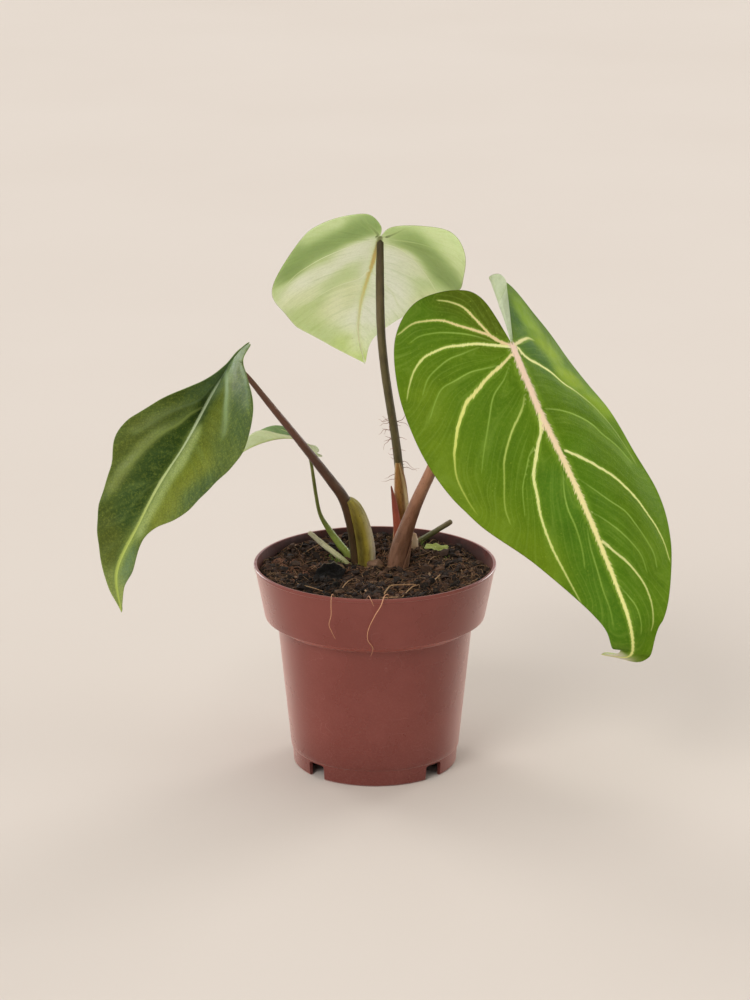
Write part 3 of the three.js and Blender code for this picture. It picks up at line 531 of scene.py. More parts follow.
def buildBlade(blade, material):
    # a middle sheet, then an upper and a lower face that meet at the margin
    blade = {**bladeShape, **blade, "line": measureLine(blade["midrib"], 240)}
    total, small = blade["line"]["total"], 0.05
    rows = np.linspace(0, 1, blade["rows"] + 1)
    shares = np.concatenate([np.linspace(0, 0.975, blade["columns"]), [0.985, 0.993, 1.0]])
    sheets, faces, first = [], [], 0
    for sign, side in ((-1, "left"), (1, "right")):
        half = {**blade[side], "sign": sign}
        grid = bladeGrid(blade, half, rows, shares)
        a, b = grid["a"], grid["b"]
        downA = rollLobe(blade, half, a + small, b) - rollLobe(blade, half, a - small, b)
        outB = rollLobe(blade, half, a, b + small) - rollLobe(blade, half, a, b - small)
        sheet = {label: value.ravel() for label, value in grid.items()}
        sheet["spot"] = rollLobe(blade, half, a, b).reshape(-1, 3)
        sheet["up"] = unit(np.cross(downA, outB) * sign).reshape(-1, 3)
        sheet["side"] = np.full(a.size, float(sign))
        squares = gridFaces(len(rows), len(shares), first)
        faces.append(squares if sign > 0 else squares[:, ::-1])
        sheets.append(sheet)
        first += a.size
    sheet = {label: np.concatenate([part[label] for part in sheets]) for label in sheet}
    kept, known, faces = weld(sheet["spot"], np.concatenate(faces))
    ups = np.zeros((len(kept), 3))
    np.add.at(ups, known, sheet["up"])
    sheet = {label: value[kept] for label, value in sheet.items()}
    sheet["up"] = unit(ups)
    a, b, count = sheet["a"], sheet["b"], len(kept)
    sideB = b * sheet["side"]

    # veins: the distance to the nearest over its half-width, its strength at that place and its colour
    near = {face: np.full(count, 9.0) for face in ("upper", "lower")}
    power = {face: np.zeros(count) for face in near}
    paint = {face: np.zeros((count, 3)) for face in near}
    winner = {face: np.zeros(count, int) for face in near}
    groove, flowTop, flowUnder = np.zeros(count), np.zeros(count), np.full(count, 1e-9)
    ribWide = smoothRun(blade["ribWide"], a / total)
    for number, vein in enumerate([blade["rib"], *blade["veins"]]):
        if number == 0:  # the midrib
            gap = np.where(a < 0, np.copysign(np.hypot(a, b), sideB), sideB)
            share, wide = np.clip(a / total, 0, 1), ribWide
        else:
            gap, share = nearRun(np.asarray(vein["run"], float), a, sideB)
            wide = smoothRun(vein.get("wide", blade["veinWide"]), share)
            weight = (np.sign(vein["run"][-1][1]) == sheet["side"]) / (np.abs(gap) + 0.4) ** 2
            flowTop, flowUnder = flowTop + number * weight, flowUnder + weight
        for face in near:
            shown = vein.get(face, blade.get(face + "Veins"))
            if not shown:
                continue
            strength = smoothRun(shown[0], share) * (1 - smoothStep(np.abs(gap) / wide, 1.9, 3))
            closer = np.abs(gap) / wide - strength < np.abs(near[face]) - power[face]
            near[face] = np.where(closer, gap / wide, near[face])
            power[face] = np.where(closer, strength, power[face])
            winner[face] = np.where(closer, number, winner[face])
            paint[face] = np.where(closer[:, None], smoothRun(shown[1], share), paint[face])
        dip = smoothRun(vein.get("dip", [0.3, 0.3]), share)
        groove = groove + dip * np.exp(-((gap / blade["dipReach"]) ** 2)) * (1 - groove / 0.9)
    # where two veins meet and the distance changes its sign between corners, their frayed part is left out
    pairs = np.concatenate([faces[:, pair] for pair in ([0, 1], [1, 2], [2, 0])])
    for face in near:
        flips = near[face][pairs[:, 0]] * near[face][pairs[:, 1]] < 0
        clash = pairs[flips & (winner[face][pairs[:, 0]] != winner[face][pairs[:, 1]])]
        power[face][clash] = np.where(np.abs(near[face][clash]) < 1.1, power[face][clash], 0)
    flow = blade["flowRows"] * sheet["row"] + blade["flowVeins"] * flowTop / flowUnder
    # barbs leave the midrib at a slant towards the tip, on both sides alike
    slant, across, along, apart = radians(38), 0.36, 4, 7.3
    barbs = np.stack([(sin(slant) * a - cos(slant) * b) / across, (cos(slant) * a + sin(slant) * b) / along,
                      apart * sheet["side"]], -1)

    # relief: the sheet dips at the veins and swells between them, and ribs stand out below
    grown = smoothStep(np.hypot(a, b), 1, 14) * smoothStep(sheet["rim"], 0, 3)
    swell = -groove + blade["quilt"] * softNoise(0.5 * a, sideB + 0.3 * a, blade["quiltPitch"], 5)
    ribOut = 0.9 * blade["ribHeight"] * np.exp(-((b / (0.75 * ribWide)) ** 2)) * smoothStep(a, 2, 16)
    half = 0.5 * blade["thickness"] * np.sqrt(np.clip(sheet["rim"] / 0.7, 0, 1))
    half = half * smoothStep(total - a, -0.5, 3)
    middle = sheet["spot"] + sheet["up"] * (swell * grown)[:, None]
    edge = (sheet["reach"] > 0.9999) | (total - a < 1e-3)
    half[edge] = 0
    upper = middle + sheet["up"] * half[:, None]
    lower = middle - sheet["up"] * (half + ribOut * (~edge))[:, None]
    places = np.concatenate([upper, lower])
    bottom = np.arange(count) + count
    bottom[edge] = np.flatnonzero(edge)  # both faces share the margin's corners
    allFaces = np.concatenate([faces, bottom[faces][:, ::-1]])
    values = {
        "tint": np.concatenate([paintPatches(a, sideB, *blade[face + "Tint"]) for face in near]),
        "veinPaint": np.concatenate([*paint.values()]),
        "veinNear": np.clip(np.concatenate([*near.values()]), -6, 6),
        "veinPower": np.concatenate([*power.values()]),
        "flow": np.tile(flow, 2),
        "barbSpace": np.tile(barbs, (2, 1)),
        "reach": np.tile(sheet["reach"], 2),
        "rim": np.clip(np.tile(sheet["rim"], 2), 0, 8),
        "upperFace": np.repeat([1.0, 0.0], count),
    }
    used = np.unique(allFaces)
    renumber = np.zeros(len(places), int)
    renumber[used] = np.arange(len(used))
    values = {label: data[used] for label, data in values.items()}
    return makePiece(blade["name"], places[used], renumber[allFaces], material,
                     [blade["node"]], values)


def leafMaterial(name, look, glow, shine, relief, sheen=0.05, sheenTint=(215, 225, 200), depth=0.0012,
                 blueDepth=0.35):
    material, tree, shader = newMaterial(
        name, Subsurface_Weight=glow, Subsurface_Scale=depth, Subsurface_Radius=(0.9, 1.0, blueDepth),
        Specular_IOR_Level=shine, Sheen_Weight=sheen, Sheen_Roughness=0.45, Sheen_Tint=tone(*sheenTint))
    numbers = ("veinNear", "veinPower", "flow", "reach", "rim", "upperFace")
    tissue = useGroup(tree, leafTissue, {
        "place": objectPlace(tree), "barbSpace": read(tree, "barbSpace", "Vector"),
        "tint": read(tree, "tint", "Color"), "veinPaint": read(tree, "veinPaint", "Color"),
        **{label: read(tree, label) for label in numbers}, **linearLook({**leafLook, **look})})
    finish(tree, shader, tissue["colour"], tissue["roughness"], tissue["height"], 0.09, relief)
    return material


creamRib = [(238, 208, 186), (240, 214, 176), (240, 228, 160), (236, 234, 150), (222, 228, 138)]
paleVein = [(228, 228, 156), (220, 226, 134)]
faintVein = [(168, 196, 96), (156, 186, 80)]
tanVein = [(226, 200, 150), (222, 222, 138)]
whiteVein = [(228, 232, 200), (214, 222, 174)]
greenVein = [(92, 100, 48), (136, 152, 88)]
rightLeaf = {
    "name": "bladeRight", "node": "blade_right", "rows": 300, "columns": 58,
    "midrib": [[66, -18, 218], [79.5, -34, 188.5], [91.5, -45, 165.5], [104, -57, 138.5], [117, -67, 107],
               [122, -71, 90.5], [121.5, -66, 77], [108.5, -58, 75]],
    "faces": [0.15, -0.85, 0.5], "turnOverFrom": 0.9,
    "veinsFan": 0.38, "veinsSpread": 1.6,
    "left": {
        "fold": [-4, -4, -4, -6, -10, -10],
        "curve": [-0.35, -0.35],
        "outline": [[0, 0], [-27, 5], [-36, 17], [-37, 36], [-25, 51], [-3, 59], [19, 61], [42, 59],
                    [73, 50], [103, 32], [139, 14], [159, 9.6], [171, 3], [180, 0]],
    },
    "right": {
        "fold": [-38, -37, -22, -20, -14, -8],
        "curve": [-0.45, -0.45, -0.42, -0.4, -0.4, -0.4],
        "roll": {"from": 8, "radius": 0.09, "turn": 165, "full": 34},
        "outline": [[0, 0], [-11, 4.4], [-21, 2.2], [-30, -6.6], [-36, -1], [-33, 18], [-18, 33], [0, 48],
                    [29, 47], [62, 47], [90, 52], [117, 43], [150, 18], [168, 6], [180, 0]],
    },
    "ribWide": [2.0, 2.1, 1.8, 1.5, 1.2, 0.8, 0.45],
    "ribHeight": 1.1, "dipReach": 3.2, "quilt": 0.35, "quiltPitch": 15, "flowRows": 9, "flowVeins": 2,
    "rib": {"upper": ([1, 1, 1, 1, 0.9], creamRib),
            "lower": ([0.9, 0.8, 0.6], [(190, 180, 130), (190, 205, 140)]), "dip": [0.25, 0.45, 0.4, 0.3]},
    "veins": [
        {"run": [(-1, -2), (-6, -7), (-11, -9), (-19, -12), (-26, -15), (-31, -20), (-34, -25)],
         "wide": [0.74, 0.57, 0.41], "upper": ([1, 0.95, 0.5], tanVein)},
        {"run": [(-2, -4), (-8, -8), (-15, -16), (-19, -21), (-24, -27), (-27, -35), (-28, -41), (-26, -49)],
         "wide": [0.74, 0.61, 0.45], "upper": ([1, 0.95, 0.45], tanVein)},
        {"run": [(-5, -8), (-10, -14), (-14, -20), (-18, -28), (-20, -34), (-21, -40), (-20, -45)],
         "upper": ([0.1, 0.5, 0.4, 0.3], faintVein)},
        {"run": [(0, -2), (-3, -8), (-7, -16), (-9, -23), (-11, -30), (-11, -38), (-10, -43), (-6, -49),
                 (0, -54), (5, -57)],
         "wide": [0.74, 0.7, 0.57, 0.37], "upper": ([1, 1, 0.85, 0.35], paleVein)},
        {"run": [(-5, -15), (-5, -24), (-5, -31), (-3, -38), (0, -44), (6, -49)],
         "wide": [0.45, 0.4], "upper": ([0.1, 0.45, 0.4, 0.25], faintVein)},
        {"run": [(7, -8), (6, -16), (5, -24), (6, -32), (7, -39), (11, -44), (18, -50)],
         "upper": ([0.1, 0.5, 0.4, 0.3], faintVein)},
        {"run": [(4, -2), (7, -8), (10, -16), (15, -25), (18, -31), (22, -35), (28, -40), (34, -44),
                 (39, -47), (47, -50), (59, -50), (67, -49)],
         "wide": [0.74, 0.9, 0.94, 0.7, 0.49, 0.37],
         "upper": ([1, 1, 1, 0.9, 0.5, 0.2], [(226, 214, 150), (222, 224, 124), (206, 216, 96)])},
        {"run": [(8, -5), (14, -10), (20, -18), (29, -24), (35, -28), (43, -34), (49, -38)],
         "upper": ([0.1, 0.45, 0.35, 0.2], faintVein)},
        {"run": [(25, -4), (31, -8), (38, -16), (43, -21), (49, -26), (55, -29), (70, -35), (79, -36)],
         "wide": [0.57, 0.49, 0.41],
         "upper": ([0.2, 0.75, 0.7, 0.5, 0.3], [(200, 212, 118), (174, 194, 86)])},
        {"run": [(47, -6), (51, -13), (57, -18), (66, -24), (78, -28)],
         "upper": ([0.1, 0.45, 0.4, 0.25], faintVein)},
        {"run": [(36, -1), (44, -4), (49, -8), (56, -13), (63, -17), (72, -19), (80, -21), (90, -22),
                 (100, -22), (110, -21), (119, -20), (127, -19)],
         "wide": [0.74, 0.9, 0.7, 0.53, 0.37], "upper": ([1, 1, 0.95, 0.8, 0.35], paleVein)},
        {"run": [(64, -2), (74, -6), (83, -8), (93, -8), (103, -9), (112, -11)],
         "wide": [0.44, 0.36], "upper": ([0.1, 0.5, 0.4, 0.3], faintVein)},
        {"run": [(95, -3), (104, -5), (115, -6), (126, -7), (135, -7), (144, -8)],
         "upper": ([0.1, 0.4, 0.35, 0.2], faintVein)},
        {"run": [(0, 1), (-2, 9), (-3, 15), (-2, 19)],
         "wide": [0.9, 0.82, 0.57], "upper": ([1, 1, 0.3], [(226, 214, 160), (214, 220, 130)])},
        {"run": [(2, 3), (7, 6), (11, 13), (16, 20), (23, 25), (29, 31), (38, 36), (48, 39), (59, 42),
                 (73, 45)],
         "wide": [0.9, 0.7, 0.4, 0.3], "upper": ([1, 1, 0.35, 0.2], paleVein)},
        {"run": [(34, 3), (37, 12), (42, 20), (49, 27), (56, 31), (63, 37), (72, 42)],
         "wide": [0.49, 0.41], "upper": ([0.2, 0.6, 0.5, 0.3], faintVein)},
        {"run": [(57, 3), (62, 9), (68, 16), (75, 24), (82, 29), (90, 33), (100, 36), (108, 38), (117, 38),
                 (125, 36)],
         "wide": [0.78, 0.7, 0.57, 0.37], "upper": ([1, 1, 0.9, 0.5], paleVein)},
        {"run": [(71, 2), (78, 8), (86, 15), (94, 22), (103, 25), (111, 27), (119, 28), (126, 26)],
         "wide": [0.44, 0.36], "upper": ([0.1, 0.5, 0.4, 0.3], faintVein)},
        {"run": [(88, 1), (95, 8), (103, 14), (111, 18), (118, 20), (126, 19)],
         "wide": [0.44, 0.36], "upper": ([0.1, 0.45, 0.4, 0.25], faintVein)},
        {"run": [(104, 2), (111, 6), (117, 10), (124, 13), (131, 15), (139, 15), (147, 13), (153, 11)],
         "wide": [0.74, 0.57, 0.41], "upper": ([0.9, 0.8, 0.3], paleVein)},
        {"run": [(126, 1), (133, 4), (139, 6), (146, 6), (152, 5)],
         "upper": ([0.1, 0.5, 0.4, 0.3], faintVein)},
    ],
    "upperTint": ((88, 119, 16), [
        # the first two patches, beside the midrib in its lower half, are painted sheen
        ([(70, -8), (110, -8), (150, -7)], 10, 1.4, (70, 116, 30)),
        ([(60, 9), (110, 9), (150, 7)], 9, 1.0, (78, 120, 18)),
        ([(8, -50), (40, -54), (75, -44), (105, -28)], 10, 1.2, (116, 138, 26)),
        ([(30, 44), (62, 45), (90, 50), (117, 41), (150, 17)], 8, 1.0, (98, 132, 24)),
        # painted light and shade where the rolled right lobe bends: a lit yellow-green band broken by darker
        # strips, and a shaded dark green zone beside it
        ([(-18, 19), (-9, 22)], 5, 5, (134, 164, 34)),
        ([(-2, 25), (7, 29)], 6, 8, (142, 166, 20)),
        ([(15, 30), (24, 35)], 5, 7, (146, 168, 24)),
        ([(32, 39), (44, 43)], 4, 5, (138, 164, 28)),
        ([(-7, 17), (-4, 28)], 2.4, 2.5, (82, 120, 34)),
        ([(10, 23), (13, 36)], 2.4, 2.5, (86, 124, 30)),
        ([(27, 30), (31, 43)], 2.2, 2.5, (86, 124, 30)),
        ([(-16, 9), (-2, 12), (10, 20)], 5.5, 5, (60, 98, 32)),
        ([(-14, -4), (-28, -8), (-34, -16)], 9, 2.5, (76, 84, 18)),
        ([(-25, -30), (-30, -40)], 14, 0.6, (74, 112, 24)),
        ([(20, -20), (40, -20)], 16, 0.5, (78, 116, 26)),
        ([(174, 0), (181, 0)], 5, 24, (232, 222, 208)),
    ]),
    "lowerVeins": ([0.6, 0.45, 0.2], [(196, 210, 164), (176, 198, 146)]),
    "lowerTint": ((150, 176, 122), [
        ([(-30, 2), (-20, 2)], 16, 8, (220, 228, 198)),
        ([(172, 0), (181, 0)], 4, 20, (228, 216, 200)),
    ]),
}
rightLook = {
    "fray": 0.62, "haloReach": 2.9, "haloStrength": 0.42, "haloTint": (140, 170, 56),
    "threadStrength": 0.05, "lineTint": (146, 174, 70), "stripes": 0.17,
    "netSize": 1.5, "netStrength": 0.05, "netTint": (116, 146, 34),
    "spotAmount": 0.06, "spotTint": (150, 170, 60),
    "cloudy": 0.3, "darker": (176, 196, 150), "lighter": (30, 34, 4),
    "marginWide": 0.2, "marginStrength": 0.4, "marginTint": (112, 84, 50),
    "roughFrom": 0.46, "roughTo": 0.58,
}
rightLeafTissue = leafMaterial("rightLeafTissue", rightLook, glow=0.1, shine=0.04, relief=1.2, sheen=0.0,
                               sheenTint=(190, 220, 190))
buildBlade(rightLeaf, rightLeafTissue)

leftLeaf = {
    "name": "bladeLeft", "node": "blade_left", "rows": 240, "columns": 50,
    "midrib": [[-69.5, -6, 207], [-79, -13, 192], [-92, -21, 169], [-103.5, -28, 152.5], [-113.5, -34, 134],
               [-124.5, -39, 111.5], [-122.5, -44, 91.5]],
    "faces": [-0.25, -0.85, 0.42], "turnOverFrom": 0.97,
    "veinsFan": 0.3, "veinsSpread": 1.5,
    "left": {
        "fold": [78, 74, 56, 38, 30, 24],
        "curve": [-0.1, -0.2, -0.4, -0.6, -0.6, -0.5],
        "pleat": 0.4, "pleatPitch": 17, "pleatSlant": 0.9,
        "outline": [[0, 0], [-5, 0], [-11, -3], [-13, -5], [-6, 0], [4, 3], [15, 9], [34, 25], [58, 31.5],
                    [73, 24.7], [96, 19.8], [116, 7], [127, 3], [136, 0]],
    },
    "right": {
        "fold": [52, 50, 44, 38, 36, 30],
        "curve": [-0.1, -0.2, -0.4, -0.5, -0.6, -0.6],
        "pleat": 0.3, "pleatPitch": 17, "pleatSlant": 0.9,
        "outline": [[0, 0], [-4, 3], [-9, 7], [-10, 12], [-2, 13], [7, 27], [19, 43], [37, 45], [56, 36],
                    [77, 27], [93, 10], [113, 12], [125, 5], [136, 0]],
    },
    "ribWide": [0.9, 0.75, 0.65, 0.7, 0.95, 1.0, 0.6],
    "ribHeight": 0.9, "dipReach": 2.6, "quilt": 0.4, "quiltPitch": 9, "flowRows": 34,
    "rib": {"upper": ([0.8, 1, 1, 0.85], [(176, 194, 160), (196, 208, 160), (188, 200, 112), (178, 194, 90)]),
            "lower": ([0.8, 0.7], [(150, 165, 110), (160, 180, 100)]), "dip": [0.3, 0.6, 0.5, 0.3]},
    "veins": [
        {"run": [(27, -2), (32, -6), (39, -9), (46, -13), (58, -16), (67, -17), (78, -19), (86, -19)],
         "wide": [0.8, 1.1, 1.2], "dip": [-0.5, -0.8, -0.4],
         "upper": ([0.75, 0.4, 0.15], [(150, 166, 90), (126, 140, 66)])},
        {"run": [(9, -2), (23, -5), (31, -12), (37, -17), (45, -21), (56, -24)],
         "wide": [0.8, 1.1], "dip": [-0.4, -0.5], "upper": ([0.35, 0.2], [(130, 150, 110), (120, 140, 80)])},
        {"run": [(68, -1), (76, -5), (84, -7), (92, -8)],
         "wide": [0.8, 0.9], "dip": [-0.3, -0.3], "upper": ([0.3, 0.15], [(116, 134, 66), (110, 128, 60)])},
        {"run": [(6, 2), (15, 15), (23, 22), (30, 27), (36, 28)],
         "wide": [1.4, 1.8, 1.2], "dip": [-0.5, -0.7, -0.2],
         "upper": ([0.5, 0.5, 0.2], [(140, 162, 124), (124, 146, 84)])},
        {"run": [(2, 16), (9, 28), (19, 40)],
         "wide": [1.0, 1.0], "dip": [-0.3, -0.3], "upper": ([0.3, 0.2], [(126, 150, 116), (110, 136, 90)])},
    ],
    "upperTint": ((82, 98, 36), [
        # painted highlight: a pale band where the right half bends up beside the midrib
        ([(40, 3.5), (55, 4.4), (71, 4.8), (82, 4.4), (92, 3)], 3.8, 14, (172, 186, 116)),
        ([(52, 20), (62, 17), (76, 14), (85, 11)], 6.5, 4, (126, 132, 36)),
        ([(18, 12), (30, 15), (42, 16)], 5.5, 2, (100, 106, 28)),
        # painted shade over the left half beside the midrib
        ([(28, -4), (46, -7), (72, -7), (90, -7)], 5.5, 5, (48, 74, 28)),
        ([(29, -6), (39, -10), (46, -14), (58, -17), (67, -18), (80, -20)], 2.2, 6, (136, 148, 84)),
        ([(52, -25), (76, -26)], 4.5, 2, (92, 102, 36)),
        ([(23, -6), (31, -12), (40, -19), (54, -25)], 2.6, 3, (122, 136, 82)),
        ([(27, 39), (14, 28)], 6, 2.5, (60, 84, 42)),
        ([(58, 32), (68, 25)], 5, 3, (66, 88, 50)),
        ([(8, 6), (15, 15), (23, 22), (32, 27)], 2.4, 3, (130, 146, 104)),
        # painted sheen: bluish grey-green near the lobes
        ([(-8, 4), (-2, 4), (6, 3), (14, 4)], 6, 2.2, (116, 138, 108)),
        ([(2, -2), (14, -4), (22, -9)], 5, 2.4, (98, 124, 88)),
        # painted sheen on the right half near the tip
        ([(106, 5), (118, 7)], 5, 4, (110, 136, 98)),
        # the pale band's painted highlight by the midrib, near the tip
        ([(98, 1), (112, 2)], 2.2, 6, (166, 180, 92)),
        ([(96, -12), (110, -6)], 5, 2.5, (88, 96, 32)),
        ([(122, 0), (136, 0)], 8, 4, (168, 180, 104)),
    ]),
    "lowerVeins": ([0.6, 0.45, 0.2], [(176, 192, 138), (160, 180, 118)]),
    "lowerTint": ((140, 160, 100), [
        ([(-10, 0), (10, 0)], 12, 1.0, (150, 172, 128)),
        ([(124, 0), (136, 0)], 8, 1.5, (170, 190, 100)),
    ]),
}
leftLook = {
    "fray": 0.25, "haloReach": 2.6, "haloStrength": 0.2, "haloTint": (130, 150, 80),
    "threadStrength": 0.08, "lineTint": (122, 142, 70), "stripes": 0.25,
    "netSize": 1.5, "netStrength": 0.3, "netTint": (48, 66, 22),
    "spotSize": 0.34, "spotAmount": 0.6, "spotStrength": 0.34, "spotTint": (144, 156, 60), "mottle": 0.3,
    "cloudy": 0.4, "darker": (170, 185, 150), "lighter": (36, 38, 14),
    "marginWide": 0.15, "marginStrength": 0.45, "marginTint": (140, 156, 96),
    "roughFrom": 0.4, "roughTo": 0.55,
}
leftLeafTissue = leafMaterial("leftLeafTissue", leftLook, glow=0.08, shine=0.16, relief=0.9,
                              sheenTint=(170, 200, 190))
buildBlade(leftLeaf, leftLeafTissue)

backLeaf = {
    "name": "bladeBack", "node": "blade_back", "rows": 230, "columns": 50,
    "midrib": [[2.5, 6, 266], [-0.5, 28, 252], [-4.5, 50, 234.5], [-7.5, 68, 217.5], [-8.5, 82, 199.5],
               [-5, 92, 180.5]],
    "faces": [-0.1, 0.45, 0.88], "lobeLift": 0.8, "twist": [14, 7, 2, 0, 0, 0],
    "veinsFan": 0.4, "veinsSpread": 1.5,
    "left": {
        "fold": [-14, -12, -12, -12, -10, -10],
        "curve": [-0.6, -0.7, -0.7, -0.7, -0.5, -0.4],
        "outline": [[0, 0], [-13, 4], [-24, 18], [-31, 34], [-24, 44], [-5, 46], [18, 46], [44, 40],
                    [70, 30], [91, 18], [109, 6], [124, 0]],
    },
    "right": {
        "fold": [-18, -18, -16, -14, -10, -10],
        "curve": [-0.2, -0.25, -0.3, -0.35, -0.4, -0.4],
        "outline": [[0, 0], [-12, 1], [-23, 8], [-25, 19], [-23, 33], [-17, 43], [3, 56], [26, 56],
                    [54, 46], [82, 34], [104, 17], [124, 0]],
    },
    "ribWide": [1.9, 1.7, 1.4, 1.1, 0.8, 0.5],
    "ribHeight": 0.8, "dipReach": 3, "quilt": 0.3, "quiltPitch": 15, "flowRows": 38,
    "rib": {"upper": ([1, 1, 0.9, 0.8], [(224, 200, 150), (222, 216, 140), (206, 214, 120)]),
            # the first lower colour, a dark green at the joint between the lobes, is painted shade
            "lower": ([0.9, 0.95, 0.9, 0.8, 0.6],
                      [(98, 100, 52), (200, 174, 112), (214, 192, 128), (228, 214, 150), (240, 234, 180),
                       (248, 246, 204), (252, 252, 220)]),
            "dip": [0.3, 0.5, 0.4, 0.2]},
    "veins": [
        {"run": [(-2, 2), (-5, 2), (-13, 6), (-20, 11)], "wide": [1.0, 0.7, 0.5],
         "lower": ([0.9, 0.6, 0.15], greenVein), "upper": ([0.8, 0.5], paleVein)},
        {"run": [(-2, -3), (-8, -6), (-18, -11)], "wide": [1.0, 0.7, 0.5],
         "lower": ([0.9, 0.6, 0.15], greenVein), "upper": ([0.8, 0.5], paleVein)},
        {"run": [(2, 2), (0, 11), (1, 20), (2, 30), (4, 37), (7, 44), (14, 50)], "wide": [0.7, 0.6, 0.45],
         "lower": ([0.85, 0.7, 0.35], whiteVein), "upper": ([1, 0.9, 0.5], paleVein)},
        {"run": [(8, -4), (8, -10), (14, -18), (24, -25), (33, -31), (41, -36)], "wide": [0.7, 0.6, 0.45],
         "lower": ([0.85, 0.7, 0.35], whiteVein), "upper": ([1, 0.9, 0.5], paleVein)},
        {"run": [(40, 1), (49, 5), (49, 15), (50, 25), (53, 32)], "wide": [0.8, 0.7, 0.5],
         "lower": ([0.8, 0.7, 0.4], [(232, 236, 204), (214, 222, 174)]), "upper": ([1, 0.8, 0.4], paleVein)},
        {"run": [(42, -1), (50, -6), (60, -14), (72, -19)], "wide": [0.8, 0.7, 0.5],
         "lower": ([0.4, 0.3], [(214, 220, 170), (200, 212, 150)]), "upper": ([1, 0.8, 0.4], paleVein)},
        {"run": [(-1, 6), (-9, 20), (-14, 34)], "wide": [0.5, 0.4],
         "lower": ([0.35, 0.2], [(120, 146, 78), (130, 156, 84)]), "upper": ([0.8, 0.4], paleVein)},
        {"run": [(-1, -6), (-10, -20), (-16, -34)], "wide": [0.5, 0.4],
         "lower": ([0.3, 0.2], [(206, 214, 160), (180, 196, 130)]), "upper": ([0.8, 0.4], paleVein)},
    ],
    "upperTint": ((92, 128, 34), [
        ([(20, 20), (60, 20)], 18, 0.6, (84, 122, 34)),
        ([(100, 0), (122, 0)], 12, 1.2, (124, 150, 50)),
    ]),
    "lowerTint": ((185, 200, 146), [
        ([(-13, 12), (-12, 20), (-11, 29), (-8, 40), (0, 48)], 7, 6.6, (117, 136, 74)),
        ([(8, 10), (18, 14), (24, 24), (24, 38)], 9, 6.6, (241, 244, 214)),
        ([(34, 44), (44, 34)], 8, 4.4, (235, 240, 194)),
        ([(-20, 24), (-16, 38)], 4, 3.3, (214, 226, 177)),
        ([(30, 14), (42, 22)], 6, 3.3, (191, 204, 153)),
        ([(60, 10), (72, 14), (80, 10)], 9, 4.4, (239, 240, 197)),
        ([(60, 34), (80, 28), (100, 14)], 8, 3, (190, 204, 144)),
        ([(24, -6), (40, -8), (68, -13), (88, -4)], 9, 7, (248, 248, 224)),
        ([(14, -14), (28, -22)], 6, 3.5, (237, 240, 205)),
        ([(-6, -20), (4, -32), (16, -38)], 9, 6.6, (125, 143, 81)),
        ([(-22, -26), (-14, -40)], 7, 2.6, (193, 204, 153)),
        ([(46, -38), (64, -30)], 6, 2.6, (224, 226, 180)),
        ([(106, 8), (122, 0)], 6, 4, (184, 204, 112)),
        ([(86, 8), (98, 2), (110, 1)], 6, 6, (240, 246, 206)),
        ([(-12, 5), (-20, 8)], 5, 3.5, (125, 145, 84)),
    ]),
}
# the two leaves that show their pale side let more light through
paleSide = {"glow": 0.8, "shine": 0.25, "relief": 0.7, "depth": 0.004, "blueDepth": 0.85}
backLeafTissue = leafMaterial("backLeafTissue", {}, **paleSide)
buildBlade(backLeaf, backLeafTissue)

smallLeaf = {
    "name": "bladeSmall", "node": "blade_small", "rows": 110, "columns": 24, "thickness": 0.45,
    "midrib": [[-33, 16, 157], [-37, 18, 160.5], [-44, 21, 161.5], [-53, 25, 159], [-62.5, 29, 154],
               [-71, 32, 148]],
    "faces": [0.15, 0.05, 1], "lobeLift": 6,
    "veinsFan": 0.45, "veinsSpread": 1.3,
    "left": {
        "fold": [-20, -15, 0, 35, 45, 45],
        "curve": [-2, -2, -1, -1, -1, -1],
        "outline": [[0, 0], [-4, 1], [-6.5, 4], [-4, 8], [3, 10.5], [12, 12], [22, 12], [32, 9], [40, 4],
                    [46, 0]],
    },
    "right": {
        "fold": [45, 30, 22, 40, 45, 45],
        "curve": [0, 0, -1, -1, -1, -1],
        "outline": [[0, 0], [-5, 0.5], [-8, 4], [-6.5, 8.5], [3, 10.5], [14, 11], [26, 9], [37, 4], [46, 0]],
    },
    "ribWide": [0.7, 0.6, 0.5, 0.3],
    "ribHeight": 0.5, "dipReach": 1.4, "quilt": 0.15, "quiltPitch": 6, "flowRows": 22,
    "rib": {"upper": ([0.9, 0.8, 0.6], [(190, 200, 130), (180, 196, 120)]),
            "lower": ([0.8, 0.6, 0.4], [(170, 185, 110), (200, 212, 150)]), "dip": [0.2, 0.2, 0.1]},
    "veins": [
        {"run": [(2, 1), (6, 4), (12, 7), (20, 9)], "wide": [0.35, 0.25], "upper": ([0.7, 0.4], paleVein),
         "lower": ([0.3, 0.2], [(150, 170, 100), (160, 180, 110)])},
        {"run": [(2, -1), (6, -4), (12, -7), (20, -9)], "wide": [0.35, 0.25], "upper": ([0.7, 0.4], paleVein),
         "lower": ([0.3, 0.2], [(150, 170, 100), (160, 180, 110)])},
    ],
    "upperTint": ((76, 108, 52), [([(36, 0), (46, 0)], 6, 1.0, (120, 150, 70))]),
    "lowerTint": ((206, 216, 172), [
        ([(-4, 5), (0, 8)], 4, 1.5, (214, 226, 184)),
        ([(20, 6), (34, 3)], 6, 1.0, (190, 208, 146)),
    ]),
}
smallLook = {"netSize": 0.8, "marginStrength": 0.3, "marginTint": (140, 150, 90)}
smallLeafTissue = leafMaterial("smallLeafTissue", smallLook, **paleSide)
buildBlade(smallLeaf, smallLeafTissue)
print("the four blades are made")


